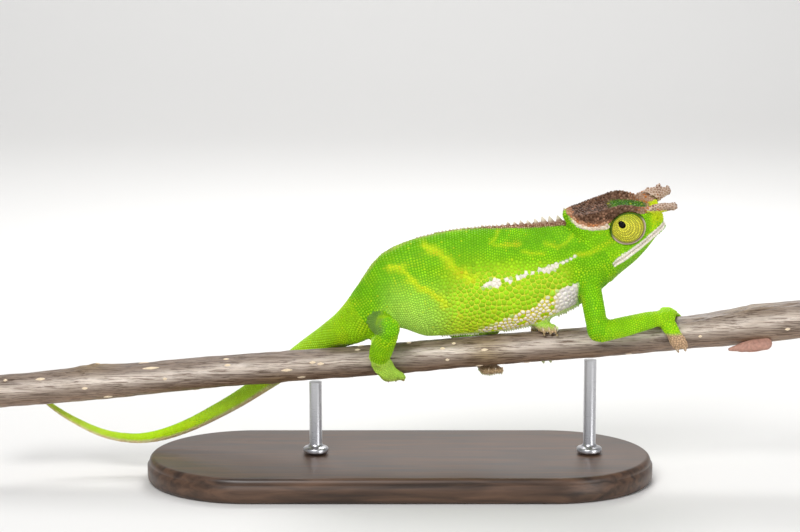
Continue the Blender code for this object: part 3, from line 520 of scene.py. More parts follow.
def living_group():
    """Return the shared effect of living skin: mottled colour, uneven sheen and fine wrinkles."""
    name = "Living tone"
    if name in bpy.data.node_groups:
        return bpy.data.node_groups[name]
    tree = bpy.data.node_groups.new(name, "ShaderNodeTree")
    for label, kind, default in (
        ("Color", "NodeSocketColor", (0.5, 0.5, 0.5, 1.0)), ("Mottle", "NodeSocketFloat", 0.15),
        ("Grain", "NodeSocketFloat", 2500.0), ("Gloss", "NodeSocketFloat", 0.5),
    ):
        tree.interface.new_socket(name=label, in_out="INPUT", socket_type=kind).default_value = default
    outputs = ("Color", "NodeSocketColor"), ("Roughness", "NodeSocketFloat"), ("Height", "NodeSocketFloat")
    for label, kind in outputs:
        tree.interface.new_socket(name=label, in_out="OUTPUT", socket_type=kind)
    given = add_node(tree, "NodeGroupInput").outputs
    place = add_node(tree, "ShaderNodeTexCoord").outputs["Object"]
    noise = add_node(tree, "ShaderNodeTexNoise", {"Vector": place, "Scale": given["Grain"], "Detail": 4.0})
    height = noise.outputs["Fac"]
    spread = add_node(tree, "ShaderNodeMath", {0: height, 1: 0.5}, operation="SUBTRACT").outputs[0]
    amount = {0: spread, 1: given["Mottle"], 2: 1.0}
    amount = add_node(tree, "ShaderNodeMath", amount, operation="MULTIPLY_ADD").outputs[0]
    tint = add_node(tree, "ShaderNodeHueSaturation", {"Color": given["Color"], "Value": amount})
    gloss = {0: spread, 1: 0.35, 2: given["Gloss"]}
    gloss = add_node(tree, "ShaderNodeMath", gloss, operation="MULTIPLY_ADD").outputs[0]
    add_node(tree, "NodeGroupOutput", {"Color": tint.outputs["Color"], "Roughness": gloss, "Height": height})
    return tree


def new_material(name):
    """Return a fresh material with its node tree and its Principled shader."""
    material = bpy.data.materials.new(name)
    material.use_nodes = True
    return material, material.node_tree, material.node_tree.nodes["Principled BSDF"]


def add_bump(tree, shader, height, strength, depth):
    """Let a height bend the shader's normal, by at most depth in millimetres."""
    bump = add_node(tree, "ShaderNodeBump", {"Strength": strength, "Distance": depth * MM, "Height": height})
    set_inputs(tree, shader, {"Normal": bump.outputs["Normal"]})


def markings_of(tree):
    """Return the colours that paint keeps on the piece."""
    return add_node(tree, "ShaderNodeAttribute", attribute_name="Markings").outputs["Color"]


def streaks(tree, squeeze, settings):
    """Return a noise that is drawn out along the axes with a small squeeze."""
    place = add_node(tree, "ShaderNodeTexCoord").outputs["Object"]
    place = add_node(tree, "ShaderNodeMapping", {"Vector": place, "Scale": squeeze}).outputs["Vector"]
    return add_node(tree, "ShaderNodeTexNoise", {"Vector": place, **settings}).outputs["Fac"]


def ramp(tree, factor, stops):
    """Return the colour between two stops, each a place and a colour."""
    node = add_node(tree, "ShaderNodeValToRGB", {"Fac": factor})
    for element, (place, tone) in zip(node.color_ramp.elements, stops):
        element.position = place
        element.color = (*tone, 1.0)
    return node.outputs["Color"]


def uneven_gloss(tree, shader, factor, smooth, rough, start=0.0, end=1.0):
    """Let a factor between start and end vary the shader's roughness."""
    spread = {"Value": factor, "From Min": start, "From Max": end, "To Min": smooth, "To Max": rough}
    spread = add_node(tree, "ShaderNodeMapRange", spread).outputs["Result"]
    set_inputs(tree, shader, {"Roughness": spread})


def living_material(name, mottle=0.5, grain=2500.0, gloss=0.42, bump=0.03, shine=0.25, plain=None):
    """Return a material of living skin that shows the piece's markings, or one plain colour."""
    material, tree, shader = new_material(name)
    values = {"Mottle": mottle, "Grain": grain, "Gloss": gloss}
    values["Color"] = markings_of(tree) if plain is None else (*plain, 1.0)
    effect = add_node(tree, "ShaderNodeGroup", values, node_tree=living_group()).outputs
    set_inputs(tree, shader, {"Base Color": effect["Color"], "Roughness": effect["Roughness"]})
    set_inputs(tree, shader, {"Specular IOR Level": shine})
    add_bump(tree, shader, effect["Height"], 0.5, bump)
    return material


# Markings


def above_casque(head):
    """Return how far points lie above the casque's lower margin."""
    return head[:, 2] - read_at(CASQUE_MARGIN, head[:, 0])


def from_nostril(head, sign):
    """Return how far points lie from the nostril on one side."""
    return np.linalg.norm(head - np.array(NOSTRIL) * (1.0, sign, 1.0), axis=1)


def from_boss(head):
    """Return how far points lie from the white boss behind the eye, seen from the side."""
    return np.hypot(head[:, 0] - BOSS[0], head[:, 2] - BOSS[1])


def mouth_line():
    """Return the mouth's corner, the length of its line, and the ways along and square to it."""
    corner, tip = np.array(MOUTH_CORNER), np.array(MOUTH_TIP)
    size = np.linalg.norm(tip - corner)
    way = (tip - corner) / size
    return corner, size, way, np.array((-way[1], way[0]))


def mouth_place(head):
    """Return how far points lie above the mouth line, and their share of the way to its tip."""
    corner, size, way, up = mouth_line()
    flat = head[:, [0, 2]] - corner
    return flat @ up, (flat @ way) / size


def region_mask(regions, *starts):
    """Return which points belong to nodes whose names start with one of the words."""
    wanted = [number for number, name in enumerate(FLESH) if name.startswith(starts)]
    return np.isin(regions, wanted)


def band_share(points):
    """Return how well points lie on the white belly band, from 0 to 1."""
    x, z = points[:, 0], points[:, 2]
    upper, lower = read_at(BELLY_BAND_TOP, x), read_at(BELLY_BAND_LOW, x)
    inside = soft(z, lower - 0.5, lower + 0.1) * (1.0 - soft(z, upper - 0.2, upper + 0.4))
    return inside * soft(x, 17.5, 20.0) * (1.0 - soft(x, 41.0, 42.0))


def back_depth(points):
    """Return how far below the ridge of the back points lie."""
    return read_at(BACK_LINE, points[:, 0]) - points[:, 2]


def trunk_greens(points, centre, edge, pal):
    """Shade the trunk: light scales on deep green skin behind, green scales in a yellow net in front."""
    x, z = points[:, 0], points[:, 2]
    high = soft(z, 50.0, 58.5)
    front = soft(x, 2.0, 20.0)
    low = 1.0 - soft(z, 40.0, 52.0)
    net = soft(large_scales(points), 0.10, 0.75)
    golden = (0.05 + 0.2 * soft(cloud(points, 2.5, 4), -0.4, 0.8)) * (1.0 - high)
    centre = mixed(centre, pal["yellow"], golden)
    centre = mixed(centre, pal["deep"], 0.5 * high * soft(cloud(points, 3.4, 7), -0.6, 0.5))
    hip = (1.0 - soft(x, -4.0, 3.0)) * soft(z, 41.0, 46.0)
    centre = mixed(centre, pal["deep"], 0.48 * hip)
    rear = low * (1.0 - front) * soft(x, -7.0, 0.0)
    centre = mixed(centre, pal["cool"], rear * (0.6 + 0.35 * (1.0 - soft(z, 38.0, 43.0))))
    centre = mixed(centre, pal["lime"] * 0.95, 0.75 * net)
    centre = mixed(centre, pal["yellow"], net * (0.02 + 0.34 * (1.0 - soft(z, 35.5, 42.0))))
    edge = mixed(edge, pal["cool"] * 0.85, 0.8 * rear)
    glow = 0.20 * soft(x, 4.0, 16.0) * (1.0 - soft(z, 50.0, 57.0)) * (1.0 - soft(x, 38.0, 43.0))
    edge = mixed(edge, pal["yellow"], glow)
    edge = mixed(edge, mixed(pal["yellow"], pal["white"], 0.06) * 0.95, 0.95 * net)
    return centre, mixed(edge, pal["orange"], 0.12 * net * low * soft(cloud(points, 2.0, 5), 0.1, 0.6))


def trunk_whites(points, centre, edge, pal):
    """Lay the white stripe, the belly band and the pale belly over the trunk's greens."""
    x, z = points[:, 0], points[:, 2]
    white = np.zeros(len(x))
    for spot_x, spot_z, radius in WHITE_DOTS:
        away = np.hypot(x - spot_x, z - spot_z)
        white = np.maximum(white, 1.0 - soft(away, 0.8 * radius, 1.1 * radius))
    centre, edge = mixed(centre, pal["white"], white), mixed(edge, pal["white"] * 0.9, white)
    band = band_share(points)
    lavender = band * soft(x, 35.5, 38.0)
    seam = mixed(pal["yellow"], pal["orange"], 0.45)
    seam = mixed(seam, pal["brown"], 0.22 * soft(cloud(points, 0.7, 10), -0.2, 0.6))
    broken = band * soft(cloud(points, 1.3, 9), -0.75, -0.55)
    centre = mixed(centre, pal["white"], np.maximum(broken, lavender))
    edge = mixed(mixed(edge, seam, 0.75 * band), pal["lilac"] * 0.92, lavender)
    centre = mixed(centre, pal["lilac"], 0.2 * lavender)
    lower = read_at(BELLY_BAND_LOW, x)
    under = 1.0 - soft(z, lower - 0.4, lower + 0.1)
    under = under * soft(x, 10.0, 18.0) * (1.0 - soft(x, 40.5, 43.0)) * (1.0 - band)
    pale = mixed(pal["cool"], pal["white"], 0.55)
    return mixed(centre, pale, 0.85 * under), mixed(edge, pal["cool"], 0.8 * under)


def body_colours(points, centre, edge, pal):
    """Colour the trunk and neck: scale centres and the skin at their edges."""
    x, flat = points[:, 0], points[:, [0, 2]]
    centre, edge = trunk_greens(points, centre, edge, pal)
    frayed = np.clip(1.0 + 0.4 * cloud(points, 1.1, 6), 0.5, 1.6)
    for path, width in YELLOW_BANDS:
        near = np.exp(-(to_path(flat, path) / (1.15 * width * frayed)) ** 2)
        near = near * (0.55 + 0.45 * soft(width, 0.4, 0.7))
        centre = mixed(centre, pal["yellow"], 0.68 * near)
        centre = mixed(centre, pal["orange"], 0.25 * near * soft(cloud(points, 0.9, 12), 0.15, 0.7))
        edge = mixed(edge, mixed(pal["lime"], pal["yellow"], 0.6), 0.75 * near)
    for spot_x, spot_z, radius in ORANGE_SPOTS:
        near = np.exp(-((flat - (spot_x, spot_z)) ** 2).sum(1) / radius ** 2)
        centre = mixed(centre, mixed(pal["orange"], pal["yellow"], 0.4), 0.5 * near)
    centre, edge = trunk_whites(points, centre, edge, pal)
    width, depth = read_at(BACK_STRIP, x), back_depth(points)
    ridge = (1.0 - soft(depth, width, width + 0.4)) * soft(x, 13.0, 22.0) * (1.0 - soft(x, 39.8, 41.5))
    back = mixed(pal["brown"] * 3.5, pal["pink"] * 1.15, speckled(points, 0.35, 8, 0.5, 0.6))
    centre, edge = mixed(centre, back, ridge), mixed(edge, pal["brown"] * 3.0, ridge)
    crown = (1.0 - soft(depth, 0.15, 0.5)) * (1.0 - soft(x, 14.0, 20.0))
    tan = mixed(pal["orange"], pal["cream"], 0.5)
    return mixed(centre, tan, 0.2 * crown), mixed(edge, tan, 0.3 * crown)


def casque_colours(points, head, centre, edge, pal):
    """Colour the casque: dark granules with pale flecks, a rusty rim and an orange front."""
    a, b, c = head.T
    margin = above_casque(head)
    valley = (1.0 - soft(b, 2.0, 2.9)) * soft(b, -2.2, -1.2)
    valley = valley * soft(a, -5.0, -3.0) * (1.0 - soft(a, 3.8, 5.3)) * (c > 2.5)
    roof = soft(margin, -0.15, 0.25)
    fleck = speckled(points, 0.32, 31, 0.08, 0.9)
    bony = mixed(pal["brown"], pal["pink"] * (1.0, 0.82, 0.75), 0.6 * fleck)
    rim = (1.0 - soft(margin, 0.7, 1.5)) * (1.0 - soft(a, -5.0, -3.0)) * soft(-a, 3.0, 6.0)
    salmon = mixed(pal["rust"] * 0.85, pal["pink"] * 1.2, speckled(points, 0.5, 34, 0.45, 0.4))
    crest = soft(a, -7.0, 1.0) * soft(c, 3.0, 5.0)
    bony = mixed(bony, pal["pink"] * 0.8, 0.45 * crest * soft(cloud(points, 0.5, 37), -0.6, 0.6))
    bony = mixed(bony, salmon, 0.95 * rim)
    fore = soft(a, 0.5, 4.5)
    ember = mixed(pal["pink"], pal["rust"], soft(cloud(points, 1.0, 33), -0.1, 0.4))
    bony = mixed(bony, ember, 0.9 * fore)
    share = np.clip(0.06 + 0.3 * fleck + 0.55 * fore + 0.25 * rim, 0.0, 1.0)
    seams = mixed(mixed(pal["brown"] * 1.4, pal["pink"] * 1.1, share), salmon * 0.7, 0.8 * rim)
    centre, edge = mixed(centre, bony, roof), mixed(edge, seams, roof)
    moss = mixed(pal["deep"] * 0.4, pal["lime"] * 0.7, speckled(points, 0.55, 35, 0.1, 0.35))
    return mixed(centre, moss, valley), mixed(edge, pal["deep"] * 0.3, valley)


def head_colours(points, head, centre, edge, pal):
    """Colour the head and jaw: casque, eye surround, lips, cheek and throat."""
    a, b, c = head[:, 0], np.abs(head[:, 1]), head[:, 2]
    above, share = mouth_place(head)
    margin = above_casque(head)
    centre = mixed(centre, pal["yellow"], 0.22 * soft(cloud(points, 2.6, 21), 0.0, 0.7))
    centre = mixed(centre, pal["deep"], 0.28 * soft(cloud(points, 2.4, 22), -0.1, 0.7))
    cheek = soft(a, -12.0, -8.0)
    edge = mixed(edge, pal["lime"] * 0.85, 0.6 * cheek)
    stripe = np.exp(-(to_path(head[:, [0, 2]], EYE_STRIPE) / 0.75) ** 2)
    centre = mixed(centre, pal["yellow"], 0.6 * stripe)
    throat = soft(-above, 1.2, 3.6)
    centre = mixed(centre, mixed(pal["cool"], pal["cream"], 0.25) * 0.75, 0.45 * throat)
    edge = mixed(edge, pal["deep"], 0.6 * throat)
    snout = soft(a, 4.4, 6.5) * (above > 0.8)
    centre = mixed(centre, pal["yellow"], 0.85 * snout * soft(c, 0.6, 2.6))
    edge = mixed(edge, mixed(pal["lime"], pal["yellow"], 0.7), 0.9 * snout)
    centre, edge = casque_colours(points, head, centre, edge, pal)
    # pale line under the casque, and the white boss behind the eye
    pale = soft(margin, -0.9, -0.6) * (1.0 - soft(margin, 0.1, 0.4))
    pale = pale * soft(-a, 4.6, 5.5) * (1.0 - soft(-a, 12.5, 14.0))
    boss = 1.0 - soft(from_boss(head), 0.5, 0.75)
    light = np.maximum(pale * (b > 1.5), boss * (b > 3.0))
    fringe = mixed(pal["white"], pal["pink"], 0.2 + 0.4 * soft(cloud(points, 0.6, 36), -0.2, 0.5))
    centre = mixed(centre, fringe, light)
    edge = mixed(edge, mixed(pal["white"], pal["orange"], 0.25), light)
    thick = 0.3 + 0.7 * soft(share, -0.03, 0.22) - 0.34 * np.clip(share, 0.0, 1.0)
    lips = (1.0 - soft(np.abs(above), thick - 0.1, thick + 0.08)) * soft(share, -0.02, 0.02)
    centre = mixed(centre, pal["white"], lips)
    edge = mixed(edge, pal["white"] * 0.92, lips)
    line = (1.0 - soft(np.abs(above), 0.03, 0.14)) * soft(share, 0.0, 0.03)
    return centre, mixed(edge, mixed(pal["white"] * 0.5, pal["mouth"], 0.5), 0.45 * line)


def limb_colours(points, regions, centre, edge, pal):
    """Colour arms, legs, hands and feet, with painted shadow on the rear of the thighs and painted light on
    the near foot.
    """
    x, z = points[:, 0], points[:, 2]
    centre = mixed(centre, pal["deep"], 0.35 * soft(cloud(points, 3.0, 51), -0.3, 0.7))
    centre = mixed(centre, pal["yellow"], 0.30 * soft(cloud(points, 2.4, 52), 0.0, 0.8))
    bright = region_mask(regions, "hand", "foot") + 0.6 * region_mask(regions, "shank", "forearm")
    centre = mixed(centre, mixed(pal["lime"], pal["yellow"], 0.3) * 1.1, 0.8 * bright)
    edge = mixed(edge, pal["lime"] * 0.9, 0.7 * bright)
    # painted shadow: the rear of the thighs, under the flank's fold, is laid in dark grey-green
    grey = mixed(pal["deep"], pal["cream"], 0.30) * 0.62
    thigh = region_mask(regions, "thigh") * (1.0 - soft(x + 0.6 * cloud(points, 1.5, 53), -5.6, -3.2))
    centre, edge = mixed(centre, grey, 0.75 * thigh), mixed(edge, grey * 0.8, 0.7 * thigh)
    knee = region_mask(regions, "thigh", "shank") * np.exp(-(((x - 0.3) / 0.5) ** 2)) * soft(z, 34.5, 37.0)
    centre = mixed(centre, mixed(pal["orange"], pal["cream"], 0.4), 0.8 * knee)
    # painted light: the near foot is made a brighter green than its skin, standing in for light where it lies
    # in shade
    foot = region_mask(regions, "foot_right")
    centre = mixed(centre, mixed(pal["cool"], pal["yellow"], 0.2) * 1.1, 0.9 * foot)
    edge = mixed(edge, pal["cool"] * 0.9, 0.7 * foot)
    far = region_mask(regions, "hand_left", "foot_left")
    centre = mixed(centre, mixed(pal["cool"], pal["cream"], 0.5), 0.6 * far)
    edge = mixed(edge, pal["cool"], 0.5 * far)
    for name, start, end, share in TOE_TONES:
        mine = region_mask(regions, name) * soft(-z, -start, -end)
        centre = mixed(centre, pal["toe"], share * mine)
        edge = mixed(edge, mixed(pal["toe"], pal["brown"], 0.35), share * mine)
    return centre, edge


def tail_colours(points, normals, centre, edge, pal):
    """Colour the tail: green above, cream below and towards the tip, with painted light along its middle
    where the twig's shadow falls.
    """
    x = points[:, 0]
    deep = 0.3 * soft(cloud(points, 3.2, 71), -0.4, 0.6) * (1.0 - soft(-x, 14.0, 30.0))
    centre = mixed(centre, pal["deep"], deep)
    centre = mixed(centre, pal["yellow"], 0.2 + 0.2 * soft(cloud(points, 2.2, 72), 0.0, 0.8))
    # painted light: the middle of the tail, in the twig's shadow, is made a brighter green
    painted_light_mid_tail = soft(-x, 14.0, 24.0) * (1.0 - soft(-x, 40.0, 54.0))
    centre = mixed(centre, mixed(pal["cool"], pal["lime"], 0.5) * 1.05, 0.8 * painted_light_mid_tail)
    under = soft(-normals[:, 2], 0.15 - 0.35 * soft(-x, 45.0, 80.0), 0.6) * soft(-x, 24.0, 34.0)
    rosy = mixed(pal["cream"] * 1.15, pal["pink"] * 1.35, speckled(points, 0.7, 73, 0.4, 0.4))
    tip = soft(-x, 58.0, 84.0)
    # the yellow-green skin between the scales is partly its own colour and partly painted light, stronger
    # past the tail's root
    edge = mixed(edge, mixed(pal["lime"], pal["yellow"], 0.45), 0.35 + 0.6 * soft(-x, 12.0, 30.0))
    return mixed(centre, rosy, np.maximum(0.9 * under, 0.4 * tip)), mixed(edge, rosy, 0.85 * under)


def palette():
    """Return the skin's colours as arrays."""
    given = bpy.context.scene.chameleon_colours
    pal = {name: np.array(getattr(given, name)) for name in SkinColours.__annotations__}
    pal["lilac"] = pal["white"] * (0.93, 0.93, 1.08)
    pal["rust"] = pal["orange"] * (0.75, 0.42, 0.9)
    pal["mouth"] = pal["brown"] * 1.6
    return pal


def markings(points, normals, regions):
    """Return the colours of scale centres and of the skin at their edges at places on the body."""
    pal = palette()
    head = to_head(points)
    # the casque's rear ends reach over neck and trunk
    crown = region_mask(regions, "neck", "torso") & (head[:, 0] > -12.5) & (above_casque(head) > 0.3)
    regions = np.where(crown, FLESH.index("head"), regions)
    centre = np.tile(pal["lime"], (len(points), 1))
    edge = np.tile(mixed(pal["lime"], pal["deep"], 0.85), (len(points), 1))
    mirrored = points * (1.0, 0.0, 1.0) + np.abs(points) * (0.0, 1.0, 0.0)
    for starts, make, *given in (
        (("torso", "neck"), body_colours, points),
        (("head", "lower_jaw"), head_colours, mirrored, head),
        (("upper", "forearm", "hand", "thigh", "shank", "foot"), limb_colours, points, regions),
        (("tail",), tail_colours, points, normals),
    ):
        mask = region_mask(regions, *starts)
        if mask.any():
            centre[mask], edge[mask] = make(*(array[mask] for array in given), centre[mask], edge[mask], pal)
    drift = 1.0 + 0.10 * cloud(points, 5.0, 2) + 0.06 * cloud(points, 1.4, 3)
    return centre * drift[:, None], edge


# Skin


def smoothed(values, edges, weight, rounds):
    """Even values out over the mesh, more where weight is larger."""
    count = len(values)
    ends = np.concatenate([edges[:, 0], edges[:, 1]])
    others = np.concatenate([edges[:, 1], edges[:, 0]])
    near = np.maximum(np.bincount(ends, minlength=count), 1)
    for _ in range(rounds):
        total = np.stack([np.bincount(ends, values[others, k], count) for k in range(values.shape[1])], 1)
        values = values + weight[:, None] * (total / near[:, None] - values)
    return values


def voxel_skin(voxel):
    """Fuse the flesh nodes, swollen to close their gaps, into one mesh."""
    data = bmesh.new()
    for name in FLESH:
        data.from_mesh(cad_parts[name].data)
    bmesh.ops.remove_doubles(data, verts=data.verts, dist=0.000002)
    bmesh.ops.recalc_face_normals(data, faces=data.faces)
    data.normal_update()
    for vert, normal in [(vert, vert.normal.copy()) for vert in data.verts]:
        vert.co += normal * SWELL * MM
    mesh = bpy.data.meshes.new("fused")
    data.to_mesh(mesh)
    data.free()
    return remeshed(mesh, voxel)


def refined(mesh, chosen):
    """Split the faces between chosen vertices once more."""
    data = bmesh.new()
    data.from_mesh(mesh)
    data.verts.ensure_lookup_table()
    edges = [e for e in data.edges if chosen[e.verts[0].index] and chosen[e.verts[1].index]]
    bmesh.ops.subdivide_edges(data, edges=edges, cuts=1, use_grid_fill=True)
    bmesh.ops.triangulate(data, faces=[f for f in data.faces if len(f.verts) > 4])
    data.to_mesh(mesh)
    data.free()
    mesh.update()


def sculpt_head(points, normals, regions):
    """Press the mouth line and the nostrils into the skin, and keep the skin below the turrets."""
    face = region_mask(regions, "head", "lower_jaw", "neck")
    head = to_head(points)
    above, share = mouth_place(head)
    push = -0.5 * np.exp(-(above / 0.2) ** 2) * soft(share, -0.01, 0.06) * face
    for sign in SIDES.values():
        away = from_nostril(head, sign)
        push -= 0.6 * np.exp(-(away / 0.33) ** 2)
        push += 0.18 * np.exp(-((away - 0.6) / 0.2) ** 2)
    out = points + normals * push[:, None]
    head = to_head(out)
    away = np.hypot(head[:, 0] - TURRET_PLACE[0], head[:, 2] - TURRET_PLACE[2])
    limit = TURRET_PLACE[1] + 0.35 + 3.4 * soft(away, TURRET_RADIUS - 0.1, TURRET_RADIUS + 1.7)
    pressed = face & (away < TURRET_RADIUS + 1.7) & (np.abs(head[:, 1]) > limit)
    head[pressed, 1] = (np.sign(head[:, 1]) * limit)[pressed]
    return np.where(pressed[:, None], from_head(head), out)


def make_skin():
    """Make the one skin that replaces the flesh nodes."""
    sizes = bpy.context.scene.chameleon_scales
    mesh = voxel_skin(mm(sizes.voxel))
    tree, owner = flesh_tree()
    points, edges, _ = arrays_of(mesh)
    regions = owner[nearest(tree, points)[2]]
    fine = region_mask(regions, "head", "lower_jaw", "hand", "foot", "tail_tip")
    shape = smoothed(points, edges, np.where(fine, 0.28, 0.6), 22)
    spots, ways, _, _ = nearest(tree, shape)
    gone = np.clip(((shape - spots) * ways).sum(1), -0.9, 0.9)
    move_points(mesh, shape)
    give = smoothed((-mm(sizes.sunk) - gone)[:, None], edges, np.full(len(shape), 0.6), 10)
    shape = shape + arrays_of(mesh)[2] * give
    move_points(mesh, shape)
    head = to_head(shape)
    above, share = mouth_place(head)
    detail = region_mask(regions, "head", "lower_jaw") & (np.abs(above) < 0.7) & (share > -0.05)
    for sign in SIDES.values():
        detail |= from_nostril(head, sign) < 1.1
    refined(mesh, detail)
    points, _, normals = arrays_of(mesh)
    regions = owner[nearest(tree, points)[2]]
    points = sculpt_head(points, normals, regions)
    move_points(mesh, points)
    skin = as_piece("skin", mesh)
    paint(skin, markings(points, arrays_of(mesh)[2], regions)[1])
    dress(skin, living_material("Skin", 0.4, 3000.0, 0.5, 0.02, 0.1), "skin", *FLESH)


def skin_surface():
    """Return the finished skin's points, triangles, vertex normals and search tree."""
    mesh = bpy.data.objects["skin"].data
    points, _, normals = arrays_of(mesh)
    triangles = triangles_of(mesh)
    return points, triangles, normals, tree_of(points, triangles)


# Scales


def plane_cut(points, triangles, axis, level):
    """Return the places where a plane square to axis cuts a mesh's edges, and those edges' lengths."""
    height = points @ axis - level
    ends = np.vstack([triangles[:, [0, 1]], triangles[:, [1, 2]], triangles[:, [2, 0]]])
    ends = ends[height[ends[:, 0]] * height[ends[:, 1]] < 0.0]
    first, last = height[ends[:, 0]], height[ends[:, 1]]
    start, end = points[ends[:, 0]], points[ends[:, 1]]
    share = (first / (first - last))[:, None]
    return start * (1.0 - share) + end * share, np.linalg.norm(start - end, axis=1)


def crossing_centre(points, triangles, axis, level):
    """Return the middle of a node where a plane square to axis cuts it."""
    spots, size = plane_cut(points, triangles, axis, level)
    if not len(spots):
        return None
    size = size + 0.05
    return (spots * size[:, None]).sum(0) / size.sum()


def centreline(name, step=1.0):
    """Return points along the middle of a long node."""
    points, triangles = node_mesh(name)
    middle = points.mean(0)
    axis = np.linalg.svd(points - middle, full_matrices=False)[2][0]
    levels = points @ axis
    count = max(int((levels.max() - levels.min()) / step), 3)
    cuts = np.linspace(levels.min() + 0.02, levels.max() - 0.02, count)
    line = [crossing_centre(points, triangles, axis, level) for level in cuts]
    line = np.array([spot for spot in line if spot is not None])
    inner = line[1:-1] * 0.5 + (line[:-2] + line[2:]) * 0.25
    return np.vstack([line[:1], inner, line[-1:]])


def axis_of(name):
    """Return points along a long node's axis, and the way that each ring of its scales faces."""
    if name == "torso":
        x = np.linspace(TRUNK_ROWS[0][0], TRUNK_ROWS[-1][0], 80)
        lean = np.radians(read_at(TRUNK_ROWS, x, 2))
        line = np.stack([x, np.zeros(80), read_at(TRUNK_ROWS, x)], 1)
        return line, np.stack([np.cos(lean), np.zeros(80), np.sin(lean)], 1)
    line = centreline(name)
    return line, unit(np.gradient(line, axis=0))


def row_seeds(name, skin_tree, width, row_share=0.9):
    """Return seeds of scales that run in rings round a long node, each ring half a scale on."""
    own = tree_of(*node_mesh(name))
    line, ways = axis_of(name)
    runs = np.concatenate([[0.0], np.cumsum(np.linalg.norm(np.diff(line, axis=0), axis=1))])
    angles = np.arange(121) * 2.0 * math.pi / 120
    seeds, place, turn = [], 0.0, 0
    while place < runs[-1]:
        centre = np.array([np.interp(place, runs, line[:, k]) for k in range(3)])
        way = unit(np.array([np.interp(place, runs, ways[:, k]) for k in range(3)]))
        across, up = framed(way)
        rays = np.outer(np.cos(angles), up) + np.outer(np.sin(angles), across)
        ring, fair = [], []
        for ray in rays.tolist():
            far = skin_tree.ray_cast(centre.tolist(), ray)
            mine = own.ray_cast(centre.tolist(), ray)
            fair.append(far[0] is not None and mine[0] is not None and abs(far[3] - mine[3]) < 0.75)
            ring.append(list(far[0]) if far[0] is not None else centre.tolist())
        ring = np.array(ring)
        lengths = np.concatenate([[0.0], np.cumsum(np.linalg.norm(np.diff(ring, axis=0), axis=1))])
        local = width(ring)
        spot = 0.5 * (turn % 2) * local[0]
        while spot < lengths[-1] - 0.4 * local[0]:
            index = int(np.searchsorted(lengths, spot))
            if fair[min(index, 120)] and fair[max(index - 1, 0)]:
                seeds.append([np.interp(spot, lengths, ring[:, k]) for k in range(3)])
            spot += np.interp(spot, lengths, local)
        place += row_share * width(centre[None])[0]
        turn += 1
    return np.array(seeds).reshape(-1, 3)


def large_scales(points):
    """Return how large the trunk's scales are at places, from 0 on the back to 1 low in front."""
    x, z = points[:, 0], points[:, 2]
    return soft(x, 3.0, 22.0) * (1.0 - soft(z, 45.0, 56.5)) * (1.0 - soft(x, 37.0, 42.0))


def scale_width(points, regions):
    """Return the width of the scales at places on the body, in millimetres."""
    sizes = bpy.context.scene.chameleon_scales
    x, z = points[:, 0], points[:, 2]
    flank = mm(sizes.back) + (mm(sizes.flank) - mm(sizes.back)) * large_scales(points)
    flank = np.where(to_path(points[:, [0, 2]], WHITE_STRIPE) < 1.1, np.minimum(flank, 0.85), flank)
    flank = flank + (mm(sizes.band) - flank) * (band_share(points) > 0.3)
    flank = np.where(z < read_at(BELLY_BAND_LOW, x) - 0.25, 0.58, flank)
    head = to_head(points)
    casque = soft(above_casque(head), -0.3, 0.3)
    top = mm(sizes.head) + (mm(sizes.casque) - mm(sizes.head)) * casque
    top = np.where(mouth_place(head)[0] < -1.2, 0.5, top)
    width = np.full(len(points), mm(sizes.limb))
    for starts, wanted in (
        (("torso",), flank), (("head", "lower_jaw"), top), (("neck",), mm(sizes.head)),
        (("hand", "foot"), mm(sizes.toe)), (("tail",), mm(sizes.tail) - 0.24 * soft(-x, 12.0, 85.0)),
    ):
        width = np.where(region_mask(regions, *starts), wanted, width)
    return width


def lip_seeds(skin_tree):
    """Return the seeds of the lip scales, a row above and a row below the mouth line."""
    corner, size, way, up = mouth_line()
    seeds = []
    for sign in SIDES.values():
        for rise in (LIP_RISE, -LIP_RISE):
            for step in np.arange(0.0, size + 0.2, LIP_STEP):
                a, c = corner + way * step + up * rise
                out = from_head([(a, 9.0 * sign, c)])[0]
                inward = unit(from_head([(a, 0.0, c)])[0] - out)
                hit = skin_tree.ray_cast(out.tolist(), inward.tolist())
                if hit[0] is not None and hit[3] < 9.3:
                    seeds.append(list(hit[0]))
    return np.array(seeds)


def sieved(points, apart, cell):
    """Return the numbers of the points that stay when each must lie apart from those before it."""
    cells, kept = {}, []
    for number, (point, reach) in enumerate(zip(points.tolist(), apart.tolist())):
        home = tuple(math.floor(value / cell) for value in point)
        around = itertools.product(*((k - 1, k, k + 1) for k in home))
        if not any(math.dist(point, other) < reach for key in around for other in cells.get(key, ())):
            cells.setdefault(home, []).append(point)
            kept.append(number)
    return np.array(kept)


def surface_samples(points, triangles, count, rng):
    """Return random places spread evenly over a surface."""
    corners = points[triangles]
    areas = np.linalg.norm(np.cross(corners[:, 1] - corners[:, 0], corners[:, 2] - corners[:, 0]), axis=1)
    picks = rng.choice(len(triangles), count, p=areas / areas.sum())
    share = rng.random((count, 2))
    over = share.sum(1) > 1.0
    share[over] = 1.0 - share[over]
    base = corners[picks]
    return base[:, 0] + share[:, :1] * (base[:, 1] - base[:, 0]) + share[:, 1:] * (base[:, 2] - base[:, 0])


def hidden_seed(points):
    """Return which places lie in an eye socket."""
    head = to_head(points)
    return (np.hypot(head[:, 0], head[:, 2]) < TURRET_RADIUS + 0.05) & (np.abs(head[:, 1]) > 1.2)


def relaxed(points, fixed, width_of, tree, rounds):
    """Push free seeds apart on the skin until they are evenly spaced."""
    free = np.nonzero(~fixed)[0]
    for _ in range(rounds):
        search = search_of(points)
        width = width_of(points)
        push = np.zeros((len(free), 3))
        for row, index in enumerate(free.tolist()):
            here = points[index]
            for _, other, gap in search.find_n(here, 7)[1:]:
                lack = 0.5 * (width[index] + width[other]) - gap
                if lack > 0.0 and gap > 1e-6:
                    push[row] += (here - points[other]) * (0.45 * lack / gap)
        points = points.copy()
        points[free] = nearest(tree, points[free] + np.clip(push, -0.25, 0.25))[0]
    return points


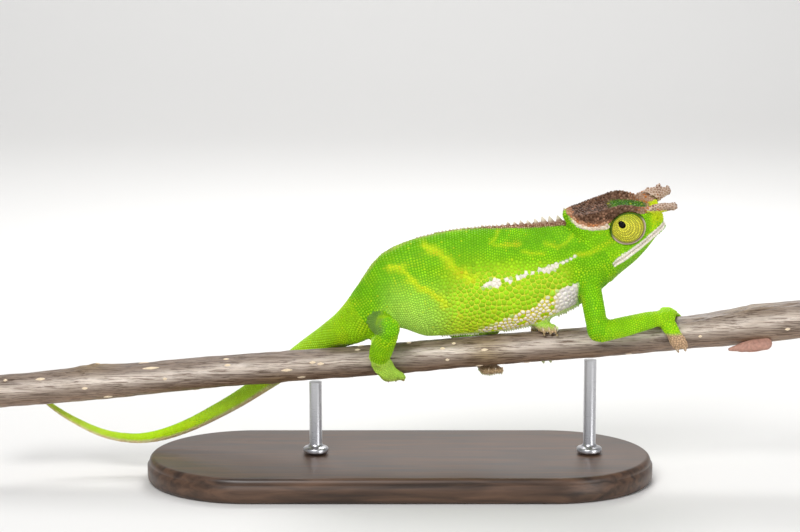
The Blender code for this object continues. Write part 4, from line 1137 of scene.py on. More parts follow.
def make_seeds(skin_points, skin_triangles, tree, regions_of, rng):
    """Return the places of all the scales: in rings along trunk, tail and limbs, else evenly spread."""
    def width_of(points):
        return scale_width(points, regions_of(points))

    back = mm(bpy.context.scene.chameleon_scales.back)
    rows = [lip_seeds(tree)]
    for number, name in enumerate(FLESH):
        if name.startswith(("torso", "tail", "upper", "forearm", "thigh", "shank")):
            rows.append(row_seeds(name, tree, lambda spots: np.minimum(
                scale_width(spots, np.full(len(spots), number)), back)))
    pinned = np.vstack(rows)
    pinned = pinned[(large_scales(pinned) < 0.16) | (regions_of(pinned) != FLESH.index("torso"))]
    pinned = pinned[~hidden_seed(pinned)]
    loose = surface_samples(skin_points, skin_triangles, LOOSE_SEEDS, rng)
    loose = loose[~hidden_seed(loose)]
    points = np.vstack([pinned, loose])
    kept = sieved(points, np.concatenate([0.66 * width_of(pinned), 0.82 * width_of(loose)]), 1.25)
    return relaxed(points[kept], kept < len(pinned), width_of, tree, 5)


def cell_radii(points, normals, width, corners):
    """Return how far each scale reaches towards each of its corners, and its tangent directions."""
    search = search_of(points)
    near = np.array([[found[1] for found in search.find_n(point, 11)[1:]] for point in points.tolist()])
    across, up = framed(normals)
    step = points[near] - points[:, None]
    flat = np.stack([(step * across[:, None]).sum(2), (step * up[:, None]).sum(2)], 2)
    gap = np.linalg.norm(flat, axis=2)
    facing = (normals[near] * normals[:, None]).sum(2)
    share = width[:, None] / (width[:, None] + width[near])
    lean = (flat[:, :, None, :] * circle(corners)).sum(3) / np.maximum(gap, 1e-6)[:, :, None]
    reach = (gap * share)[:, :, None] / np.maximum(lean, 1e-3)
    reach[(lean <= 0.05) | (facing < -0.2)[:, :, None]] = 9.0
    return np.minimum(reach.min(1), 0.8 * width[:, None]), across, up


def scale_heights(points, regions, width):
    """Return how high each scale domes, in millimetres."""
    head = to_head(points)
    face, trunk = region_mask(regions, "head", "lower_jaw"), region_mask(regions, "torso")
    above, share = mouth_place(head)
    dome = 0.13 - 0.05 * soft(points[:, 0], 34.0, 38.0)
    height = 0.20 * width * (1.0 - 0.62 * soft(large_scales(points), 0.1, 0.6) * trunk)
    for mask, wanted in (
        (face & (above_casque(head) > 0.0), 0.24 * width),
        (face & (np.abs(above) < 0.8) & (share > -0.02), 0.15),
        (region_mask(regions, "torso", "neck") & (back_depth(points) < 0.6), 0.10),
        (face & (from_boss(head) < 0.6), 0.45),
        (trunk & (band_share(points) > 0.3), dome * width),
    ):
        height = np.where(mask, wanted, height)
    return height


SCALE_CORNERS = 8
LARGE_SCALE_CORNERS = 12
COAT_PIECES = {
    "scales_head": ("head",),
    "scales_jaw_and_neck": ("lower_jaw", "neck"),
    "scales_trunk": ("torso",),
    "scales_flank": ("torso",),
    "scales_tail": ("tail",),
    "scales_arms": ("upper", "forearm", "hand"),
    "scales_legs": ("thigh", "shank", "foot"),
}


def unwrapped(points, names):
    """Return each scale's root on an unwrap that rolls every node out round its own axis."""
    places = np.zeros((len(points), 2))
    strips = sorted(set(names))
    for strip, name in enumerate(strips):
        mine = names == name
        own = node_mesh(name)[0]
        middle = own.mean(0)
        axes = np.linalg.svd(own - middle, full_matrices=False)[2]
        local = (points[mine] - middle) @ axes.T
        span = (own - middle) @ axes[0]
        along = np.clip((local[:, 0] - span.min()) / (span.max() - span.min()), 0.0, 1.0)
        around = np.arctan2(local[:, 2], local[:, 1]) / (2.0 * math.pi) + 0.5
        places[mine, 0] = 0.004 + 0.992 * along
        places[mine, 1] = (strip + 0.02 + 0.96 * around) / len(strips)
    return places


def scale_mesh(points, normals, radii, across, up, heights, gap, sunk, shoulder):
    """Return points and triangles of closed, flat-topped scales, each point's scale and share outwards."""
    count, corners = radii.shape
    ring = circle(corners)
    ways = across[:, None] * ring[None, :, :1] + up[:, None] * ring[None, :, 1:]
    foot = np.maximum(radii - 0.5 * np.reshape(gap, (-1, 1)), 0.4 * radii)[:, :, None]
    base = points[:, None] + ways * foot - normals[:, None] * sunk
    rim = points[:, None] + ways * (shoulder * foot) + normals[:, None] * (0.72 * heights)[:, None, None]
    apex = points + normals * heights[:, None]
    size = 2 * corners + 1
    k = np.arange(corners)
    after = (k + 1) % corners
    one = np.vstack([
        np.stack([k, after, corners + after], 1),
        np.stack([k, corners + after, corners + k], 1),
        np.stack([corners + k, corners + after, np.full(corners, 2 * corners)], 1),
        np.stack([np.zeros(corners - 2, int), k[2:], k[1:-1]], 1),
    ])
    triangles = (np.arange(count)[:, None, None] * size + one[None]).reshape(-1, 3)
    out = np.tile(np.concatenate([np.ones(corners), np.full(corners, 0.15), [0.0]]), count)
    placed = np.concatenate([base, rim, apex[:, None]], 1).reshape(-1, 3)
    return placed, triangles, np.repeat(np.arange(count), size), out


def add_patch_map(obj, roots, triangles, corners):
    """Add the map on which each scale is a small patch at its root's place."""
    ring = circle(corners) * 0.0015
    patch = np.vstack([ring, ring * 0.6, [[0.0, 0.0]]])
    spots = (roots[:, None] + patch[None]).reshape(-1, 2)
    layer = obj.data.uv_layers.new(name="OFBake")
    layer.data.foreach_set("uv", spots[triangles.ravel()].astype(np.float32).ravel())


def make_coat(name, seeds, ways, cells, heights, gap, sunk, shade, roots, dressing, shoulder=0.84):
    """Make one piece of scales; shade returns colours from each point's scale and share outwards."""
    points, triangles, scale, out = scale_mesh(seeds, ways, *cells, heights, gap, sunk, shoulder)
    obj = new_object(name, points, triangles)
    paint(obj, shade(scale, out))
    add_patch_map(obj, roots, triangles, cells[0].shape[1])
    dress(obj, *dressing)


def make_scales():
    """Cover the skin with scales, in pieces by part of the body."""
    sizes = bpy.context.scene.chameleon_scales
    points, triangles, normals, tree = skin_surface()
    flesh, owner = flesh_tree()
    rng = np.random.default_rng(SEED)

    def regions_of(places):
        """Return the number of the flesh node that each place lies on."""
        return owner[nearest(flesh, places)[2]]

    seeds = make_seeds(points, triangles, tree, regions_of, rng)
    ways = unit(normals[triangles[nearest(tree, seeds)[2]]].mean(1))
    regions = regions_of(seeds)
    width = scale_width(seeds, regions)
    cells = {
        corners: cell_radii(seeds, ways, width, corners) for corners in (SCALE_CORNERS, LARGE_SCALE_CORNERS)
    }
    trunk = region_mask(regions, "torso") & (band_share(seeds) < 0.3)
    gap = mm(sizes.gap) + (mm(sizes.wide_gap) - mm(sizes.gap)) * large_scales(seeds) * trunk
    heights = scale_heights(seeds, regions, width) * rng.uniform(0.85, 1.15, len(seeds))
    centre, edge = markings(seeds, ways, regions)
    centre = centre * rng.normal(1.0, 0.07, (len(seeds), 1))
    odd = (rng.random(len(seeds)) < 0.03) & (centre[:, 1] > 2.0 * centre[:, 2])
    centre = mixed(centre, palette()["yellow"], 0.35 * odd)
    names = np.array(FLESH)[regions]
    dressing = living_material("Scales", 0.35, 4000.0, 0.40, 0.015, 0.16), "skin"
    large = trunk & (large_scales(seeds) > 0.3)
    for piece, starts in COAT_PIECES.items():
        coarse = piece == "scales_flank"
        corners, shoulder = (LARGE_SCALE_CORNERS, 0.93) if coarse else (SCALE_CORNERS, 0.84)
        mine = np.nonzero(region_mask(regions, *starts) & (large == coarse))[0]
        make_coat(
            piece, seeds[mine], ways[mine], [part[mine] for part in cells[corners]], heights[mine], gap[mine],
            mm(sizes.sunk), lambda scale, out: mixed(centre[mine[scale]], edge[mine[scale]], out),
            unwrapped(seeds[mine], names[mine]), dressing, shoulder,
        )


# Eyes


def gaze_of(side):
    """Return the way that an eye looks, and one over how far along it the turret's surface lies."""
    gaze = unit(np.array(GAZE[side]))
    across, out = (gaze[0] ** 2 + gaze[2] ** 2) / TURRET_RADIUS ** 2, (gaze[1] / TURRET_BULGE) ** 2
    return gaze, math.sqrt(across + out)


def turret_ring(side, share, lift=0.0, count=RING, shift=0.0):
    """Return a ring round an eye turret and its normals: share 0 is its foot, 1 closes on the pupil."""
    gaze, stretch = gaze_of(side)
    focus = gaze[[0, 2]] / stretch / TURRET_RADIUS
    flat = circle(count, shift) * (1.0 - share) + focus * share
    depth = np.sqrt(np.maximum(1.0 - (flat ** 2).sum(1), 0.0))
    size = np.array((TURRET_RADIUS, TURRET_BULGE, TURRET_RADIUS))
    local = np.stack([flat[:, 0], depth, flat[:, 1]], 1) * size
    out = unit(local / size ** 2)
    turn, _ = head_matrix()
    return on_side(local + out * lift + TURRET_PLACE, side), (out * (1.0, SIDES[side], 1.0)) @ turn.T


def turret_colours(points, groove):
    """Colour an eye turret: yellow, greener above, whitish pink at its front foot."""
    pal = palette()
    eye = bpy.context.scene.chameleon_eyes
    flat = to_head(points)[:, [0, 2]] - (0.0, TURRET_PLACE[2])
    away = np.hypot(flat[:, 0], flat[:, 1])
    yellow = np.array(eye.yellow)
    colours = mixed(yellow, mixed(pal["lime"], yellow, 0.45), 0.7 * soft(flat[:, 1], 1.6, 3.8))
    low = soft(away, 3.1, 3.9) * soft(unit(flat) @ unit(np.array((0.25, -0.95))), 0.1, 0.8)
    colours = mixed(colours, mixed(pal["white"], pal["pink"], 0.5), 0.8 * low)
    return mixed(colours, np.array(eye.groove), groove)


def make_eye_rim(side):
    """Make the soft rim of skin at the foot of an eye turret."""
    pal = palette()
    thick = mm(bpy.context.scene.chameleon_eyes.rim)
    tree = skin_surface()[3]
    angles = np.arange(RING) * 2.0 * math.pi / RING
    cos, sin = circle(RING).T
    start = (TURRET_RADIUS + 0.45) * np.stack([cos, np.zeros(RING), sin], 1) + TURRET_PLACE
    inward = unit(inward_of(side)).tolist()
    hits = [tree.ray_cast(spot, inward, 12.0) for spot in on_side(start + (0.0, 9.0, 0.0), side).tolist()]
    lying = [3.0 if hit[0] is None else spot[1] + 9.0 - hit[3] for spot, hit in zip(start, hits)]
    lying = evened(np.minimum(lying, 4.3), 8, "wrap")
    slim = thick * (1.0 - 0.35 * soft(np.cos(angles - math.radians(125.0)), 0.0, 0.8))
    away, rise = circle(RIM_SIDES).T
    reach = TURRET_RADIUS - 0.02 + slim[:, None] * away
    depth = lying[:, None] + 0.05 + 1.2 * slim[:, None] * rise
    local = np.stack([reach * cos[:, None], depth, reach * sin[:, None]], -1).reshape(-1, 3)
    faces = grid_faces(RING + 1, RIM_SIDES) % (RING * RIM_SIDES)
    placed = on_side(local + (TURRET_PLACE[0], 0.0, TURRET_PLACE[2]), side)
    rim = new_object("eye_rim_" + side, placed, faces[:, ::int(SIDES[side])])
    flat = unit(local[:, [0, 2]])
    pinkish = mixed(pal["pink"], pal["white"], 0.35) * 0.8
    below = soft(flat @ unit(np.array((0.55, -0.83))), -0.35, 0.2)
    colours = mixed(mixed(pal["deep"], pal["brown"], 0.6), pinkish, below)
    outer = soft(np.hypot(local[:, 0], local[:, 2]), TURRET_RADIUS + 0.05, TURRET_RADIUS + 0.3)
    front = soft(flat @ unit(np.array((0.9, -0.35))), 0.35, 0.8)
    paint(rim, mixed(colours, pal["white"], outer * front))
    dress(rim, living_material("Eye rim " + side, 0.4, 3000.0, 0.5, 0.03), "eye_skin")


def make_turret(side):
    """Make one eye turret: a ringed dome, its grains, and the lids round the eyeball."""
    eye = bpy.context.scene.chameleon_eyes
    lid = 1.0 - (mm(eye.lid) + 0.22) / TURRET_RADIUS
    # each ring's share of the way to the pupil, its lift, and how dark it is
    plan = [(share, 0.0, 0.7) for share in np.linspace(0.0, lid, 40)]
    plan += [(lid + 0.020, 0.08, 0.3), (lid + 0.045, 0.13, 0.25)]
    plan += [(lid + 0.060, 0.08, 0.6), (lid + 0.064, -0.15, 1.0)]
    rings = [turret_ring(side, 0.0)[0] + inward_of(side) * 1.1]
    rings += [turret_ring(side, share, lift)[0] for share, lift, _ in plan]
    points = np.vstack(rings)
    faces = grid_faces(len(rings), RING)[:, ::int(SIDES[side])]
    turret = new_object("eye_turret_skin_" + side, points, faces)
    paint(turret, turret_colours(points, np.repeat([0.6] + [dark for _, _, dark in plan], RING)))
    material = living_material("Turret skin " + side, 0.3, 3000.0, 0.45, 0.02)
    dress(turret, material, "eye_skin", "eye_turret_" + side)
    make_grains(side, lid)
    make_eye_rim(side)


def make_grains(side, lid):
    """Cover an eye turret with rings of grains, as far as the lids."""
    step = mm(bpy.context.scene.chameleon_eyes.ring)
    total = int((lid * TURRET_RADIUS + 0.6) / step)
    seeds, ways, rank = [], [], []
    for ring in range(total):
        share = 0.02 + (lid - 0.075) * ring / (total - 1)
        around = 2.0 * math.pi * TURRET_RADIUS * (1.0 - share)
        count = max(int(around / (step * 0.8)), 8)
        spots, out = turret_ring(side, share, 0.0, count, 0.5 * (ring % 2))
        seeds.append(spots)
        ways.append(out)
        rank += [0.22 * (ring % 2)] * count
    seeds, ways, rank = np.vstack(seeds), np.vstack(ways), np.array(rank)
    width = np.full(len(seeds), step)
    tone = np.random.default_rng(SEED + 3).normal(1.0, 0.09, len(seeds))[:, None]

    def shade(scale, out):
        """Return the grains' colours, darker outwards and on every second ring."""
        return turret_colours(seeds[scale], np.clip(0.5 * out + rank[scale], 0.0, 1.0)) * tone[scale]

    dressing = living_material("Turret grains " + side, 0.3, 4000.0, 0.4, 0.01, 0.2), "eye_skin"
    make_coat(
        "eye_turret_grains_" + side, seeds, ways, cell_radii(seeds, ways, width, SCALE_CORNERS), 0.25 * width,
        0.12, 0.05, shade, 0.5 + to_head(seeds)[:, [0, 2]] / 12.0, dressing,
    )


def make_eyeball(side):
    """Make one glossy eyeball, black in front and of the iris's colour at its back."""
    eye = bpy.context.scene.chameleon_eyes
    gaze, stretch = gaze_of(side)
    middle = on_side([gaze / stretch + TURRET_PLACE - gaze * EYEBALL_DEPTH], side)[0]
    way = unit(head_matrix()[0] @ (gaze * (1.0, SIDES[side], 1.0)))
    angles = np.linspace(0.0, math.pi, 33)
    points, faces = turned(EYEBALL_RADIUS * np.stack([np.sin(angles), np.cos(angles)], 1), 48)
    across, up = framed(way)
    placed = middle + points[:, :1] * across + points[:, 1:2] * up + points[:, 2:] * way
    ball = new_object("eyeball_" + side, placed, faces[:, ::-1])
    paint(ball, mixed((0.004, 0.003, 0.003), np.array(eye.iris), soft(-points[:, 2], 0.15, 0.35)))
    dress(ball, living_material("Eyeball " + side, 0.1, 6000.0, 0.05, 0.002, 0.15), "eyeball", "eye_" + side)


# Horns


def make_horn(side):
    """Make one rostral horn from its node: a bony blade with plates and knobs."""
    node = "rostral_horn_" + side
    mesh = remeshed(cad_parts[node].data.copy(), HORN_VOXEL)
    points, edges, _ = arrays_of(mesh)
    points = smoothed(points, edges, np.full(len(points), 0.5), 8)
    move_points(mesh, points)
    normals = arrays_of(mesh)[2]
    horn = as_piece("horn_" + side, mesh)
    paint(horn, horn_colours(points, side)[1])
    dress(horn, living_material("Horn skin " + side, 0.5, 3000.0, 0.5, 0.03), "horn", node)
    triangles = triangles_of(mesh)
    tree = tree_of(points, triangles)
    rng = np.random.default_rng(SEED + 5)
    loose = surface_samples(points, triangles, 7000, rng)
    seeds = loose[sieved(loose, np.full(len(loose), 0.52), 1.2)]
    seeds = relaxed(seeds, np.zeros(len(seeds), bool), lambda p: np.full(len(p), HORN_PLATE), tree, 4)
    ways = unit(normals[triangles[nearest(tree, seeds)[2]]].mean(1))
    width = np.full(len(seeds), HORN_PLATE)
    centre, edge = horn_colours(seeds, side)
    a, b, c = to_head(seeds).T
    roots = np.stack([(a + 1.0) / 14.0, (c + np.where(b * SIDES[side] > 3.5, 0.0, 9.0)) / 19.0], 1)
    make_coat(
        "horn_plates_" + side, seeds, ways, cell_radii(seeds, ways, width, SCALE_CORNERS),
        0.2 * width * rng.uniform(0.5, 1.5, len(seeds)), 0.10, 0.1,
        lambda scale, out: mixed(centre[scale], edge[scale], 0.8 * out), np.clip(roots, 0.01, 0.99),
        (living_material("Horn plates " + side, 0.5, 4000.0, 0.42, 0.02), "horn"),
    )


def horn_colours(points, side):
    """Colour a horn: pink-grey plates in a pale net, rust on the blade, yellow-green under it."""
    pal = palette()
    a, b, c = (to_head(points) * (1.0, SIDES[side], 1.0)).T
    grey = mixed(pal["pink"] * 0.75, pal["brown"] * 2.6, speckled(points, 1.3, 41, 0.4, 0.45))
    rust = soft(cloud(points, 1.1, 42), 0.05, 0.4) * (1.0 - soft(a, 6.5, 8.5))
    centre = mixed(grey, pal["rust"], 0.85 * rust)
    edge = mixed(pal["white"], pal["pink"], 0.68) * (1.0 - 0.2 * soft(a, 7.0, 11.0))[:, None]
    top = 4.9 + 0.10 * (a - 4.0)
    wedge = (1.0 - soft(c, top - 0.5, top + 0.1)) * soft(b, 3.0, 3.6) * (1.0 - soft(a, 8.2, 9.4))
    return mixed(centre, mixed(pal["lime"], pal["yellow"], 0.75), wedge), mixed(edge, pal["yellow"], wedge)


# Crests


# Cones behind the head: x and height
DORSAL_CONES = (
    (38.4, 0.7), (37.2, 1.25), (35.4, 1.45), (33.7, 1.45), (31.9, 1.15), (30.1, 0.95), (28.4, 0.7),
    (26.9, 0.6), (25.3, 0.55), (24.1, 0.5),
)


def crest_row(tree, places, up):
    """Return the highest or lowest points of the skin across the body at places along it."""
    sign, start = (1.0, 80.0) if up else (-1.0, 20.0)
    across = np.linspace(-2.4, 2.4, 25).tolist()
    spots = []
    for place in places:
        hits = [tree.ray_cast((place, y, start), (0.0, 0.0, -sign)) for y in across]
        found = [tuple(hit[0]) for hit in hits if hit[0] is not None]
        spots.append(max(found, key=lambda spot: sign * spot[2]))
    return np.array(spots)


def make_crests():
    """Make the cones along the back and the small ones along the belly."""
    tree = skin_surface()[3]
    rng = np.random.default_rng(SEED + 7)
    pal = palette()
    steps = np.linspace(0.0, 1.0, 8)
    cones = list(DORSAL_CONES) + [(x, 0.38 + 0.10 * soft(x, 8.0, 22.0)) for x in np.arange(4.0, 23.5, 0.85)]
    teeth = [(x, 0.50) for x in np.arange(10.0, 42.0, 0.56)]
    back = pal["pink"] * 0.7, mixed(pal["cream"], pal["white"], 0.45) * 0.92
    belly = mixed(pal["cool"], pal["white"], 0.5), mixed(pal["cool"], pal["white"], 0.8)
    for name, plan, up, lean_x, (foot, crown) in (
        ("dorsal_crest", cones, 1.0, -0.32, back), ("ventral_crest", teeth, -1.0, 0.25, belly),
    ):
        parts, shades = [], []
        for spot, (_, size) in zip(crest_row(tree, [x for x, _ in plan], up > 0.0), plan):
            tall = float(size) * rng.uniform(0.92, 1.08)
            lean = unit(np.array((lean_x, rng.uniform(-0.06, 0.06), up)))
            path = spot + np.outer(1.3 * steps - 0.3, lean) * tall
            wide = (0.55 * tall + 0.12) * (1.0 - steps) ** 0.85 + 0.05
            some, faces = swept(path, wide, 12, 0.75, (0.0, 1.0, 0.0), 3)
            parts.append((some, faces))
            rise = np.clip(((some - spot) @ lean) / tall, 0.0, 1.0)
            shades.append(mixed(foot, crown, soft(rise, 0.05, 0.55)))
        crest = new_object(name, *joined(parts))
        paint(crest, np.vstack(shades))
        dress(crest, living_material(name.replace("_", " "), 0.4, 3000.0, 0.5, 0.02), "skin")


# Twig


def twig_line():
    """Return rows of x and the twig's height and radius there, measured on its node."""
    points, triangles = node_mesh("perch_twig")
    low, high = points[:, 0].min(), points[:, 0].max()
    rows = []
    for x in np.linspace(low + 0.3, high - 0.3, 60):
        ring, _ = plane_cut(points, triangles, np.array((1.0, 0.0, 0.0)), x)
        height = ring[ring[:, 1] > -0.5, 2]
        rows.append((x, 0.5 * (height.min() + height.max()), 0.5 * (height.max() - height.min())))
    rows = np.array(rows)
    rows[0, 0], rows[-1, 0] = low, high
    return rows


def turn_from(angles, start):
    """Return the turn from one angle to others, at most half a turn either way."""
    return np.angle(np.exp(1j * (angles - start)))


def on_bark(x, angle, squeeze):
    """Return places for patches on the bark, drawn out along the twig by a small squeeze."""
    round_it = TWIG_RADIUS * np.cos(angle), TWIG_RADIUS * np.sin(angle)
    return np.stack([squeeze * x, *round_it], -1).reshape(-1, 3)


def end_rings(ring, out):
    """Return rings that close an end of the twig, from its middle outwards."""
    middle = ring.mean(0)
    shares = (0.0, 0.35, 0.7, 0.94)
    return np.array([middle + (ring - middle) * s + (0.25 * out * (1 - s ** 6), 0, 0) for s in shares])


# Knots: x, angle round the twig from its left side, size, height
KNOTS = (
    (-72.5, 80.0, 3.2, 0.55), (83.0, 60.0, 4.0, 0.5), (90.5, -40.0, 4.0, 0.35), (-30.0, -110.0, 2.5, 0.2),
    (20.0, 170.0, 3.0, 0.25),
)
# Pores: x and angle round the twig from its top
LENTICELS = (
    (-84.6, 46), (-74.2, 92), (-68.9, 139), (-60.6, -8), (-58.8, 42), (-55.4, 85), (-26.6, 95),
    (-23.2, 130), (-18.6, 79), (-10.1, 30), (-9.2, 0), (1.9, 10), (10.1, 56), (11.0, 101), (12.5, 36),
    (18.8, 145), (19.7, 75), (70.4, 99), (90.9, 105), (-93.2, 38), (-41.0, 25), (-40.5, 57),
    (-20.7, 73), (-71.7, -8), (-80.0, 200), (-62.0, 230), (-35.0, 250), (-14.0, 215), (8.0, 240),
    (29.0, 265), (48.0, 210), (58.0, 280), (76.0, 235), (30.0, 160), (54.0, 150), (-48.0, 165),
    (88.0, 300),
)
# Half the length of the long pores, by their places
LONG_PORES = {-58.8: 2.2, -26.6: 1.5, -60.6: 1.4, -84.6: 1.3, -68.9: 1.2}


def make_twig():
    """Make the twig: bark with knots and ridges, pale pores, and the bud with its scales."""
    rows = twig_line()
    x = np.linspace(rows[0, 0], rows[-1, 0], BARK_RINGS)
    z, radius = (evened(read_at(rows, x, column), 12, "edge") for column in (1, 2))
    angles = np.arange(RING) * 2.0 * math.pi / RING
    grid_x, grid_t = np.meshgrid(x, angles, indexing="ij")
    wrapped = on_bark(grid_x, grid_t, 0.16)
    relief = 0.07 * cloud(wrapped, 0.45, 61) + 0.07 * cloud(wrapped, 1.6, 62) - 0.05
    relief = relief.reshape(grid_x.shape)
    for knot_x, knot_angle, size, tall in KNOTS:
        turn = turn_from(grid_t, math.radians(knot_angle))
        away = ((grid_x - knot_x) / size) ** 2 + (turn * TWIG_RADIUS / size) ** 2
        relief += tall * np.exp(-away) * (0.8 + 0.2 * np.cos(6.0 * np.sqrt(away)))
    reach = radius[:, None] - 0.12 + relief
    points = np.stack([grid_x, reach * np.cos(grid_t), z[:, None] + reach * np.sin(grid_t)], -1)
    full = np.concatenate([end_rings(points[0], -1.0), points, end_rings(points[-1], 1.0)[::-1]])
    twig = new_object("twig_bark", full.reshape(-1, 3), grid_faces(len(full), RING))
    paint(twig, bark_colours(np.tile(angles, len(full)), full[:, :, 0].ravel()))
    dress(twig, bark_material(), "bark", "perch_twig")
    make_pores(x, points)
    make_bud()


def make_pores(x, points):
    """Make the pale pores on the bark, whose points lie in rings at x."""
    bark = bpy.context.scene.chameleon_bark
    rng = np.random.default_rng(SEED + 9)
    profile = [(0.0, -0.15), (1.0, -0.15), (0.85, 0.03), (0.5, 0.09), (0.2, 0.05), (0.0, 0.04)]
    dome, faces = turned(profile, 16)
    parts = []
    for spot, angle in LENTICELS:
        # the rings count from the left side, the list from the top
        turn = math.radians(90.0 + angle)
        index = int(np.argmin(np.abs(x - spot)))
        side = int(round(turn / (2.0 * math.pi) * RING)) % RING
        out = np.array((0.0, math.cos(turn), math.sin(turn)))
        ahead = unit(points[min(index + 2, BARK_RINGS - 1), side] - points[max(index - 2, 0), side])
        wide = LONG_PORES.get(spot, rng.uniform(0.5, 1.1))
        along = points[index, side, 0] + wide * dome[:, 0]
        lying = np.stack([np.interp(along, x, points[:, side, axis]) for axis in range(3)], 1)
        narrow = dome[:, 1:2] * (0.38 - 0.16 * np.abs(dome[:, :1]))
        parts.append((lying + narrow * np.cross(out, ahead) + (dome[:, 2:] + 0.06) * out, faces))
    pores = new_object("twig_pores", *joined(parts))
    dress(pores, living_material("Pores", 0.6, 2500.0, 0.7, 0.03, plain=tuple(bark.lenticel)), "bark")


def make_bud():
    """Make the pointed bud with its overlapping scales."""
    bark = bpy.context.scene.chameleon_bark
    root, tip = np.array((86.0, -2.6, 33.2)), np.array((76.8, -4.1, 32.0))
    across, up = framed(unit(tip - root))
    core = root + np.outer(np.linspace(0.0, 0.93, 12), tip - root)
    widths = 1.55 * np.sin(np.linspace(0.95, 0.12, 12) * math.pi / 2.0) ** 0.8
    parts = [swept(core, np.maximum(widths, 0.15), 20)]
    for number in range(9):
        angle = number * 2.4
        start = 0.62 * number / 9.0
        out = across * math.cos(angle) + up * math.sin(angle)
        place = root + np.outer(start + (0.97 - start) * 0.62 * np.linspace(0.0, 1.0, 9), tip - root)
        swell = 1.45 * (1.0 - 0.75 * start) * np.sin(np.linspace(0.62, 0.10, 9) * math.pi) ** 0.5
        wide = 0.85 * (1.0 - 0.5 * start) * np.sin(np.linspace(0.35, 0.96, 9) * math.pi) ** 0.7 + 0.08
        parts.append(swept(place + np.outer(swell, out), wide, 12, 0.28, out, 3))
    bud = new_object("twig_bud", *joined(parts))
    dress(bud, living_material("Bud", 0.9, 1800.0, 0.5, 0.05, plain=tuple(bark.bud)), "bark")


# The bark's streaks: squeeze, scale, detail, darkest colour, where that ends, where white starts, share
BARK_STREAKS = {
    "broad": (0.05, 900.0, 4.0, (0.55, 0.46, 0.38), 0.40, 0.58, 0.4),
    "fine": (0.04, 3400.0, 8.0, (0.24, 0.18, 0.14), 0.40, 0.52, 0.9),
    "blotch": (1.0, 170.0, 3.0, (0.70, 0.66, 0.60), 0.35, 0.65, 0.35),
}


def bark_material():
    """Return the bark: crisp streaks along the twig over a silvery band of painted sheen, browner above and
    below.
    """
    gloss = bpy.context.scene.chameleon_bark.gloss
    material, tree, shader = new_material("Bark")
    tone = markings_of(tree)
    noises = {}
    for name, (squeeze, scale, detail, dark, low, high, share) in BARK_STREAKS.items():
        settings = {"Scale": scale, "Detail": detail, "Roughness": 0.68}
        noises[name] = streaks(tree, (squeeze, 1.0, 1.0), settings)
        shade = ramp(tree, noises[name], ((low, dark), (high, (1.0, 1.0, 1.0))))
        blend = {0: share, 6: tone, 7: shade}
        tone = add_node(tree, "ShaderNodeMix", blend, data_type="RGBA", blend_type="MULTIPLY").outputs[2]
    set_inputs(tree, shader, {"Base Color": tone})
    uneven_gloss(tree, shader, noises["fine"], gloss, gloss + 0.3, 0.3, 0.7)
    add_bump(tree, shader, noises["fine"], 1.0, 0.12)
    return material


def bark_colours(angle, x):
    """Colour the bark by the angle round the twig, counted from the left side over the top; the pale grey
    band along its sides is painted sheen, standing in for reflected light.
    """
    bark = bpy.context.scene.chameleon_bark
    brown = np.array(bark.brown)
    from_top = np.abs(turn_from(angle, math.pi / 2.0))
    # painted sheen: a pale grey band along both sides of the twig stands in for the light's reflection,
    # unevenly strong along it; elsewhere the bark keeps a little of its own grey
    sheen_strength = np.clip(0.95 + 0.15 * cloud(on_bark(x, angle, 0.25), 2.2, 64), 0.0, 1.2)
    painted_sheen_band = np.exp(-((from_top - 1.27) / 0.36) ** 2) * sheen_strength
    colours = mixed(brown, np.array(bark.grey), np.clip(0.18 + 0.82 * painted_sheen_band, 0.0, 1.4))
    colours = mixed(colours, brown * 2.2, 0.6 * soft(from_top, 1.7, 2.5))
    for knot_x, knot_angle, size, _ in KNOTS:
        turn = turn_from(angle, math.radians(knot_angle))
        near = np.exp(-((x - knot_x) / (1.6 * size)) ** 2 - (turn * TWIG_RADIUS / size) ** 2)
        colours = mixed(colours, np.array(bark.knot), 0.65 * near)
    return colours


# Claws


# Bundles of toes: count, x of their tips, angles of root and tip round the twig, lift, radius
TWIG_TOES = {
    "hand_right": ((2, 65.8, 40.0, 114.0, 1.3, 1.25), (3, 66.6, 24.0, -118.0, 1.15, 1.1)),
    "hand_left": ((3, 34.9, -14.0, 26.0, 1.1, 1.0), (2, 34.6, -46.0, -132.0, 1.2, 1.15)),
    "foot_right": ((3, -1.1, 82.0, 146.0, 1.3, 1.2), (2, -3.6, 58.0, -130.0, 1.1, 1.05)),
    "foot_left": ((3, 22.2, -98.0, -186.0, 1.2, 1.1), (2, 22.4, -66.0, -34.0, 1.1, 1.0)),
}
TOE_SPACING = 1.45
# Hands and feet whose toes turn brown: the height where that starts and ends, and how far it goes
TOE_TONES = (
    ("hand_right", 36.6, 35.6, 0.95), ("hand_left", 37.6, 36.2, 0.9), ("foot_left", 31.0, 29.0, 0.9),
    ("foot_right", 25.6, 24.4, 0.3),
)


